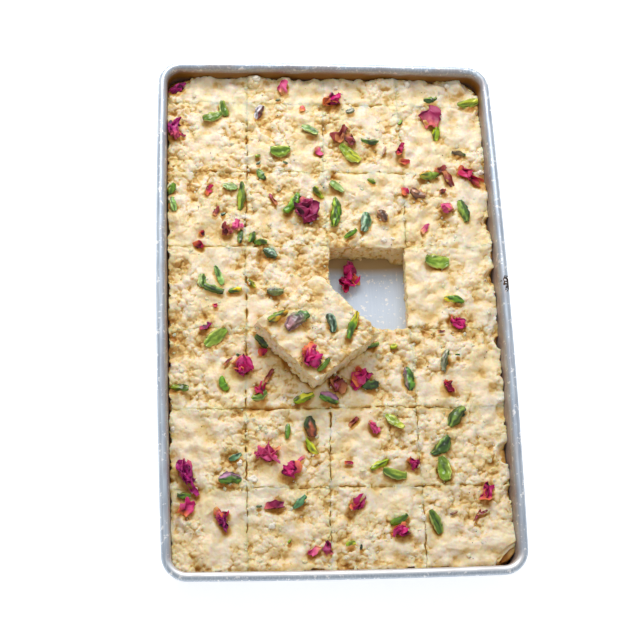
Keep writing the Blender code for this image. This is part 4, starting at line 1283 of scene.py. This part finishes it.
def strewn_tree():
    """Uneven lumps strewn over the surfaces of a collection, by their loose attribute."""
    tree = bpy.data.node_groups.new("Strewn lumps", "GeometryNodeTree")
    tree.is_modifier = True
    inputs = (("Geometry", "Geometry"), ("Ground", "Collection"), ("Density", "Float"), ("Smallest", "Float"),
              ("Largest", "Float"), ("Sides", "Int"), ("Seed", "Int"), ("Finish", "Material"))
    for label, kind in inputs:
        tree.interface.new_socket(label, in_out="INPUT", socket_type="NodeSocket" + kind)
    tree.interface.new_socket("Geometry", in_out="OUTPUT", socket_type="NodeSocketGeometry")
    link = tree.links.new
    given = tree.nodes.new("NodeGroupInput").outputs
    result = tree.nodes.new("NodeGroupOutput").inputs

    def maths(operation, first, second):
        node = add_node(tree, "ShaderNodeMath", operation)
        for socket, value in zip(node.inputs, (first, second)):
            if isinstance(value, bpy.types.NodeSocket):
                link(value, socket)
            else:
                socket.default_value = value
        return node.outputs[0]

    def scaled(vector, factor):
        node = add_node(tree, "ShaderNodeVectorMath", "SCALE")
        link(vector, node.inputs["Vector"])
        link(factor, node.inputs["Scale"])
        return node.outputs["Vector"]

    surfaces = tree.nodes.new("GeometryNodeCollectionInfo")
    joined = tree.nodes.new("GeometryNodeRealizeInstances")
    strewn = tree.nodes.new("GeometryNodeDistributePointsOnFaces")
    looseness = add_node(tree, "GeometryNodeInputNamedAttribute", Name="loose")
    link(given["Ground"], surfaces.inputs["Collection"])
    link(surfaces.outputs[0], joined.inputs["Geometry"])
    link(joined.outputs["Geometry"], strewn.inputs["Mesh"])
    link(maths("MULTIPLY", looseness.outputs["Attribute"], given["Density"]), strewn.inputs["Density"])
    link(given["Seed"], strewn.inputs["Seed"])

    chance = tree.nodes.new("FunctionNodeRandomValue")
    link(given["Seed"], chance.inputs["Seed"])
    spread = maths("SUBTRACT", given["Largest"], given["Smallest"])
    rare = maths("POWER", chance.outputs[1], 2.5)
    radius = maths("ADD", maths("MULTIPLY", rare, spread), given["Smallest"])
    kept = tree.nodes.new("GeometryNodeCaptureAttribute")
    kept.capture_items.new("FLOAT", "Radius")
    link(strewn.outputs["Points"], kept.inputs["Geometry"])
    link(radius, kept.inputs["Radius"])
    turn = tree.nodes.new("FunctionNodeRandomValue")
    turn.data_type = "FLOAT_VECTOR"
    set_inputs(turn, Max=(6.28,) * 3)
    link(given["Seed"], turn.inputs["Seed"])
    lump = tree.nodes.new("GeometryNodeMeshIcoSphere")
    link(given["Sides"], lump.inputs["Subdivisions"])
    lumps = tree.nodes.new("GeometryNodeInstanceOnPoints")
    link(kept.outputs["Geometry"], lumps.inputs["Points"])
    link(lump.outputs["Mesh"], lumps.inputs["Instance"])
    link(turn.outputs["Value"], lumps.inputs["Rotation"])
    link(kept.outputs["Radius"], lumps.inputs["Scale"])
    real = tree.nodes.new("GeometryNodeRealizeInstances")
    link(lumps.outputs["Instances"], real.inputs["Geometry"])

    place = tree.nodes.new("GeometryNodeInputPosition")
    bumps = add_node(tree, "ShaderNodeTexNoise", Scale=0.9, Detail=1.0)
    own_radius = kept.outputs["Radius"]
    link(scaled(place.outputs["Position"], maths("DIVIDE", 1.0, own_radius)), bumps.inputs["Vector"])
    outward = tree.nodes.new("GeometryNodeInputNormal")
    bumpy = maths("SUBTRACT", bumps.outputs["Fac"], 0.5)
    swell = maths("MULTIPLY", bumpy, maths("MULTIPLY", own_radius, 2.4))
    sunk = tree.nodes.new("ShaderNodeCombineXYZ")
    link(maths("MULTIPLY", own_radius, -0.4), sunk.inputs["Z"])
    offset = tree.nodes.new("ShaderNodeVectorMath")
    link(scaled(outward.outputs["Normal"], swell), offset.inputs[0])
    link(sunk.outputs["Vector"], offset.inputs[1])
    moved = tree.nodes.new("GeometryNodeSetPosition")
    link(real.outputs["Geometry"], moved.inputs["Geometry"])
    link(offset.outputs["Vector"], moved.inputs["Offset"])
    finished = tree.nodes.new("GeometryNodeSetMaterial")
    link(moved.outputs["Geometry"], finished.inputs["Geometry"])
    link(given["Finish"], finished.inputs["Material"])
    link(finished.outputs["Geometry"], result["Geometry"])
    return tree


def strew(name, ground, finish, density, smallest, largest, sides, seed):
    """Strew one kind of small lump over the ground and keep it as a plain mesh."""
    tree = shared_group("Strewn lumps", strewn_tree)
    carrier = bpy.data.objects.new(name + " carrier", bpy.data.meshes.new(name + " carrier"))
    bpy.context.scene.collection.objects.link(carrier)
    modifier = carrier.modifiers.new("strewn", "NODES")
    modifier.node_group = tree
    values = {"Ground": ground, "Density": density, "Smallest": smallest, "Largest": largest,
              "Sides": sides, "Seed": seed, "Finish": finish}
    for socket in tree.interface.items_tree:
        if socket.in_out == "INPUT" and socket.name in values:
            modifier[socket.identifier] = values[socket.name]
    depsgraph = bpy.context.evaluated_depsgraph_get()
    mesh = bpy.data.meshes.new_from_object(carrier.evaluated_get(depsgraph))
    carrier.modifiers.remove(modifier)
    bpy.data.objects.remove(carrier)
    if "gold_and_shade" in mesh.attributes:
        mesh.attributes.remove(mesh.attributes["gold_and_shade"])
    add_attribute(mesh, "gold_and_shade", np.full(len(mesh.vertices), CRUMB_PIT))
    return add_piece(name, mesh, finish)


def crumbly_blocks():
    """The pieces that stand for the squares and the strips."""
    return [piece for piece in bpy.context.scene.objects if piece.name.endswith("_crumbly")]


def height_at(blocks, x, y):
    """Height of the highest block's surface over a place, in millimetres, or none beside them."""
    hits = (block.ray_cast(Vector((x, y, 100)) * MM, Vector((0, 0, -1))) for block in blocks)
    return max((place.z / MM for hit, place, _, _ in hits if hit), default=None)


def resting(blocks, points, x, y, heading, reach, sink):
    """Turn points to their heading, tilt them with the surface below, and set them down on it."""
    spots = ((0, 0), (reach, 0), (-reach, 0), (0, reach), (0, -reach))
    found = [height_at(blocks, x + dx, y + dy) for dx, dy in spots]
    heights = np.array([height for height in found if height is not None])
    level = np.median(heights)
    slope_x, slope_y = 0.0, 0.0
    if len(heights) == len(spots) and (np.abs(heights - level) < LEVEL_ENOUGH).all():
        slope_x = (heights[1] - heights[2]) / (2 * reach)
        slope_y = (heights[3] - heights[4]) / (2 * reach)
    up = Vector((-slope_x, -slope_y, 1)).normalized()
    lean = np.array(Vector((0, 0, 1)).rotation_difference(up).to_matrix())
    points = turned(points, heading, "Z") @ lean.T
    return points + (x, y, level - sink)


def colour_setting(name, description, colour):
    """A colour that the panel shows."""
    return bpy.props.FloatVectorProperty(
        name=name, description=description, default=colour, subtype="COLOR", size=4, min=0.0, max=1.0)


def length_setting(name, description, default, least=0.0):
    """A length that the panel shows, given in millimetres."""
    return bpy.props.FloatProperty(
        name=name, description=description, default=default * MM, min=least * MM, unit="LENGTH",
        subtype="DISTANCE", precision=5)


class TinSettings(bpy.types.PropertyGroup):
    metal: colour_setting("Metal", "Colour of the aluminium", linear(188, 201, 215))
    dull_metal: colour_setting("Dull Metal", "Colour of it where it is dulled", linear(168, 181, 199))
    pale_metal: colour_setting("Pale Metal", "Colour of its bright streaks", linear(216, 224, 234))
    worn_metal: colour_setting("Worn Metal", "Colour of the tin's floor", linear(212, 228, 250))
    # Specks also gives the colour of the painted highlight on the near bead
    specks: colour_setting("Specks", "Colour of the pale specks on it", linear(246, 248, 252))
    # Painted shade and painted reflection of the sweet on the tin's inner wall
    shade_and_reflection: colour_setting("Soil", "Colour of the wall where the sweet has browned it", linear(140, 92, 26))
    # Painted shade and painted reflection of the cut wall on the empty cell's floor
    floor_shade: colour_setting("Film", "Colour of the film on the floor of the empty cell", linear(176, 150, 106))
    scuff: colour_setting("Scuff", "Colour of the dark scuff on the rim", linear(52, 36, 28))


class SweetSettings(bpy.types.PropertyGroup):
    grain_size: length_setting("Grain Size", "Distance between the large grains of the surface", 3.0, 1.0)
    edge_crumble: length_setting("Edge Crumble", "How far the cut edges have crumbled away", 0.5)
    grain_warp: length_setting("Grain Warp", "How far the grains are pushed out of round", 0.7)
    cream: colour_setting("Cream", "Main colour of the sweet", linear(246, 231, 208))
    butter: colour_setting("Butter", "Colour of its yellower patches", linear(245, 223, 172))
    # Honey and golden go into the sweet's own golden patches and, as painted shade, into its creases,
    # hollows, cuts and the toppings' shade
    honey: colour_setting("Honey", "Colour of its shallow creases", linear(236, 203, 128))
    golden: colour_setting("Golden", "Colour of its pits and creases", linear(186, 122, 32))


class LooseSettings(bpy.types.PropertyGroup):
    crumbs: bpy.props.FloatProperty(
        name="Crumbs", description="Crumbs for each square metre of loose surface", default=12000.0, min=0.0)
    smallest: length_setting("Smallest Crumb", "Radius of the smallest crumb", 0.4)
    largest: length_setting("Largest Crumb", "Radius of the largest crumb", 1.3)
    specks: bpy.props.FloatProperty(
        name="Specks", description="Specks for each square metre of loose surface", default=4000.0, min=0.0)
    speck_size: length_setting("Speck Size", "Radius of the largest speck", 0.5)
    speck_colour: colour_setting("Speck Colour", "Colour of the cardamom specks", linear(58, 44, 34))
    pale_speck_colour: colour_setting("Pale Speck Colour", "Colour of their pale parts", linear(120, 96, 66))
    white_crumb_colour: colour_setting(
        "White Crumb Colour", "Colour of the white crumbs", linear(254, 246, 228))


class StageSettings(bpy.types.PropertyGroup):
    floor_colour: colour_setting("Floor Colour", "Colour of the floor", (0.97, 0.97, 0.97, 1.0))
    lens: bpy.props.FloatProperty(
        name="Lens", description="Focal length of the camera", default=85.2, unit="CAMERA")
    key_power: bpy.props.FloatProperty(
        name="Key Power", description="Power of the large soft light, in watts", default=5.2)
    fill_strength: bpy.props.FloatProperty(
        name="Fill Strength", description="Strength of the light from all sides", default=0.52)


class KALAKAND_OT_tin(bpy.types.Operator):
    """Build the shallow aluminium tin with its rolled rim"""

    bl_idname = "kalakand.tin"
    bl_label = "Tin"

    def execute(self, context):
        bm = bmesh.new()
        outside, inside = tin_section()
        rings = [[bm.verts.new(point * MM) for point in tin_ring(*pair)] for pair in outside + inside]
        count = len(rings[0])
        for low, high in zip(rings, rings[1:]):
            for i in range(count):
                j = (i + 1) % count
                bm.faces.new((low[i], low[j], high[j], high[i]))
        bm.faces.new(rings[0])
        bm.faces.new(rings[-1])
        bmesh.ops.recalc_face_normals(bm, faces=bm.faces)
        mesh = bpy.data.meshes.new("tin")
        bm.to_mesh(mesh)
        bm.free()
        points = coordinates(mesh) / MM
        # Painted shade and painted reflection of the sweet on the inner wall and bead, by height, strongest
        # at the far end
        shade_and_reflection = np.interp(points[:, 2] + soft_noise(points, 4.0, SEED + 18), *zip(*WALL_SHADE_AND_REFLECTION))
        shade_and_reflection *= np.interp(points[:, 1], SHADE_AND_REFLECTION_GROWS, (SIDE_SHADE_AND_REFLECTION, 1.0))
        shade_and_reflection[:(len(outside) - BEAD_SHADED_RINGS) * count] = 0
        add_attribute(mesh, "shade_and_reflection", shade_and_reflection)
        worn = np.zeros(len(points))
        worn[-count:] = FLOOR_WEAR
        add_attribute(mesh, "worn", worn)
        # A pale painted highlight on the top of the near bead
        rings_in = np.arange(len(points)) // count - len(outside) + BEAD_HIGHLIGHT_RINGS
        painted_highlight = np.clip(rings_in / 2, 0, 1) * (points[:, 2] > INNER_WALL_HEIGHTS[0] + 0.1)
        add_attribute(mesh, "painted_highlight", painted_highlight * np.interp(-points[:, 1], HIGHLIGHT_GROWS, (0, 1)))
        add_piece("tin_brushed", mesh, metal_finish(context.scene.kalakand_tin), ("tin",))
        return {"FINISHED"}


class KALAKAND_OT_blocks(bpy.types.Operator):
    """Build every cut square and end strip with its crumbly top"""

    bl_idname = "kalakand.blocks"
    bl_label = "Cut Squares"

    def execute(self, context):
        sweet = context.scene.kalakand_sweet
        finish = sweet_finish(sweet)
        square_steps = round(SQUARE_LENGTH / TOP_SPACING)
        strip_steps = round(STRIP_LENGTH / TOP_SPACING)
        nets = {}
        for row, column in itertools.product(range(7), range(1, 5)):
            if (row, column) == EMPTY_CELL:
                continue
            node = "strip_%d" % column if row == 0 else "square_%d_%d" % (row, column)
            free = FREE_SIDES.get((row, column), (0, 0, 0, 0))
            rings = SHOWN_RINGS if any(free) else HIDDEN_RINGS
            steps = (square_steps, strip_steps if row == 0 else square_steps)
            if (steps, rings) not in nets:
                nets[steps, rings] = block_net(*steps, rings)
            mesh = make_block(nets[steps, rings], steps, cell_corners(row, column), SLAB_FOOT, SLAB_TOP,
                              free, sweet, (row, column))
            add_piece(node + "_crumbly", mesh, finish, (node,))
        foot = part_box("square_lifted")[0].z / MM
        steps = (square_steps, square_steps)
        mesh = make_block(nets[steps, SHOWN_RINGS], steps, np.array(LIFTED_CORNERS), foot,
                          foot + LIFTED_THICKNESS, (1, 1, 1, 1), sweet)
        add_piece("square_lifted_crumbly", mesh, finish, ("square_lifted",))
        for net in nets.values():
            bpy.data.meshes.remove(net)
        return {"FINISHED"}


class KALAKAND_OT_toppings(bpy.types.Operator):
    """Lay the pistachios and the rose petals on the squares"""

    bl_idname = "kalakand.toppings"
    bl_label = "Pistachios and Petals"

    def execute(self, context):
        context.view_layer.update()
        blocks = crumbly_blocks()
        nuts = Pile()
        for index, (x, y, heading, length, width, tone) in enumerate(NUTS):
            rng = np.random.default_rng(SEED * 100 + index)
            points, faces, tints = nut(length, width, tone, rng)
            points = resting(blocks, points, x, y, heading, max(1.2, 0.3 * length), 0.12 * width)
            nuts.add(held_inside(points), faces, tints)
        add_piece("pistachios", nuts.mesh("pistachios"),
                  tinted_finish("pistachio", 0.0009, 0.0002, 0.38, coat=0.6))

        finish = tinted_finish("rose petal", 0.0007, 0.0001, 0.5)
        petals = Pile()
        for index, (x, y, heading, length, width, form, tone) in enumerate(PETALS):
            rng = np.random.default_rng(SEED * 200 + index)
            for points, faces, tints in FORMS[form](length, width, tone, rng):
                low = 0.0 if form == "clump" else np.percentile(points[:, 2], 6) - 0.3
                points = resting(blocks, points - (0, 0, low), x, y, heading, max(1.2, 0.3 * length), 0.1)
                petals.add(held_inside(points), faces, tints)
        add_piece("rose_petals", petals.mesh("rose petals"), finish)

        x, y, heading, length, width = FALLEN_PETAL
        rng = np.random.default_rng(SEED * 300)
        fallen = Pile()
        for share, turn, dx, dy, tone, cup in FALLEN_FOLDS:
            fold_width = width * (0.3 + 0.5 * share)
            points, faces, tints = sheet(
                length * share, fold_width, tone, rng, cup, 1.2, 0.9, float(tone == "orange"))
            points = turned(turned(points, 20 * cup, "X"), heading + turn, "Z")
            fallen.add(points + (x + dx, y + dy, SHEET + 0.3 - points[:, 2].min()), faces, tints)
        add_piece("rose_petal_fallen", fallen.mesh("fallen petal"), finish, ("petal_fallen",))
        return {"FINISHED"}


class KALAKAND_OT_crumbs(bpy.types.Operator):
    """Strew crumbs and dark specks of cardamom over the squares and along the foot of the cut walls"""

    bl_idname = "kalakand.crumbs"
    bl_label = "Crumbs and Specks"

    def execute(self, context):
        loose = context.scene.kalakand_loose
        ground = bpy.data.collections.new("ground for crumbs")
        for block in crumbly_blocks():
            ground.objects.link(block)
        floor = cell_floor()
        ground.objects.link(floor)
        sweet = bpy.data.materials["milk sweet"]
        strew("crumbs", ground, sweet, loose.crumbs, loose.smallest, loose.largest, 2, SEED)
        strew("cardamom_specks", ground, speck_finish(loose), loose.specks,
              loose.speck_size * 0.5, loose.speck_size, 1, SEED + 1)
        bpy.data.collections.remove(ground)
        bpy.data.objects.remove(floor)

        context.view_layer.update()
        blocks = crumbly_blocks()
        white = Pile()
        tint = np.array(loose.white_crumb_colour)
        for index, (x, y, radius) in enumerate(WHITE_CRUMBS):
            points, faces = crumb(radius, np.random.default_rng(SEED * 400 + index))
            points = resting(blocks, points, x, y, 0, radius, 0.0)
            white.add(held_inside(points), faces, np.tile(tint, (len(points), 1)))
        add_piece("white_crumbs", white.mesh("white crumbs"),
                  tinted_finish("white crumb", 0.0006, 0.0002, 0.5))
        return {"FINISHED"}


class KALAKAND_OT_stage(bpy.types.Operator):
    """Set the plain floor, the soft light and the camera"""

    bl_idname = "kalakand.stage"
    bl_label = "Stage"

    def execute(self, context):
        scene = context.scene
        stage = scene.kalakand_stage
        bpy.ops.mesh.primitive_plane_add(size=4.0)
        floor = context.object
        floor.name = "floor"
        floor.data.materials.append(floor_finish(stage))

        world = bpy.data.worlds.new("soft surroundings")
        world.use_nodes = True
        sky = world.node_tree.nodes["Background"]
        sky.inputs["Color"].default_value = (1.0, 1.0, 1.0, 1.0)
        sky.inputs["Strength"].default_value = stage.fill_strength
        scene.world = world

        lamp = bpy.data.lights.new("window", "AREA")
        lamp.shape = "RECTANGLE"
        lamp.size = 0.5
        lamp.size_y = 0.4
        lamp.energy = stage.key_power
        window = bpy.data.objects.new("window", lamp)
        scene.collection.objects.link(window)
        window.location = KEY_PLACE
        window.rotation_euler = (-Vector(KEY_PLACE)).to_track_quat("-Z", "Y").to_euler()

        lens = bpy.data.cameras.new("camera")
        lens.lens = stage.lens
        lens.clip_start = 0.05
        camera = bpy.data.objects.new("camera", lens)
        scene.collection.objects.link(camera)
        right = Vector(CAMERA_RIGHT).normalized()
        back = -Vector(CAMERA_LOOK).normalized()
        up = back.cross(right)
        turn = Matrix((right, up, back)).transposed()
        camera.matrix_world = Matrix.Translation(Vector(CAMERA_PLACE) * MM) @ turn.to_4x4()
        scene.camera = camera
        scene.view_settings.view_transform = "Standard"
        return {"FINISHED"}


class KALAKAND_PT_panel(bpy.types.Panel):
    """Lists the steps that build the tin of kalakand"""

    bl_label = "Kalakand"
    bl_idname = "KALAKAND_PT_panel"
    bl_space_type = "VIEW_3D"
    bl_region_type = "UI"
    bl_category = "Kalakand"

    def draw(self, context):
        for step in STEPS:
            self.layout.operator(step.bl_idname)
        for name in SETTINGS:
            group = getattr(context.scene, name)
            for prop in group.bl_rna.properties:
                if not prop.is_readonly and prop.identifier != "name":
                    self.layout.prop(group, prop.identifier)


STEPS = (KALAKAND_OT_stage, KALAKAND_OT_tin, KALAKAND_OT_blocks, KALAKAND_OT_toppings, KALAKAND_OT_crumbs)
SETTINGS = {
    "kalakand_tin": TinSettings,
    "kalakand_sweet": SweetSettings,
    "kalakand_loose": LooseSettings,
    "kalakand_stage": StageSettings,
}


def register():
    for kind in (*SETTINGS.values(), *STEPS, KALAKAND_PT_panel):
        bpy.utils.register_class(kind)
    for name, kind in SETTINGS.items():
        setattr(bpy.types.Scene, name, bpy.props.PointerProperty(type=kind))


def unregister():
    for name in SETTINGS:
        delattr(bpy.types.Scene, name)
    for kind in reversed((*SETTINGS.values(), *STEPS, KALAKAND_PT_panel)):
        bpy.utils.unregister_class(kind)


def main():
    register()
    bpy.ops.kalakand.stage()
    bpy.ops.kalakand.tin()
    bpy.ops.kalakand.blocks()
    bpy.ops.kalakand.toppings()
    bpy.ops.kalakand.crumbs()


if __name__ == "__main__":
    main()
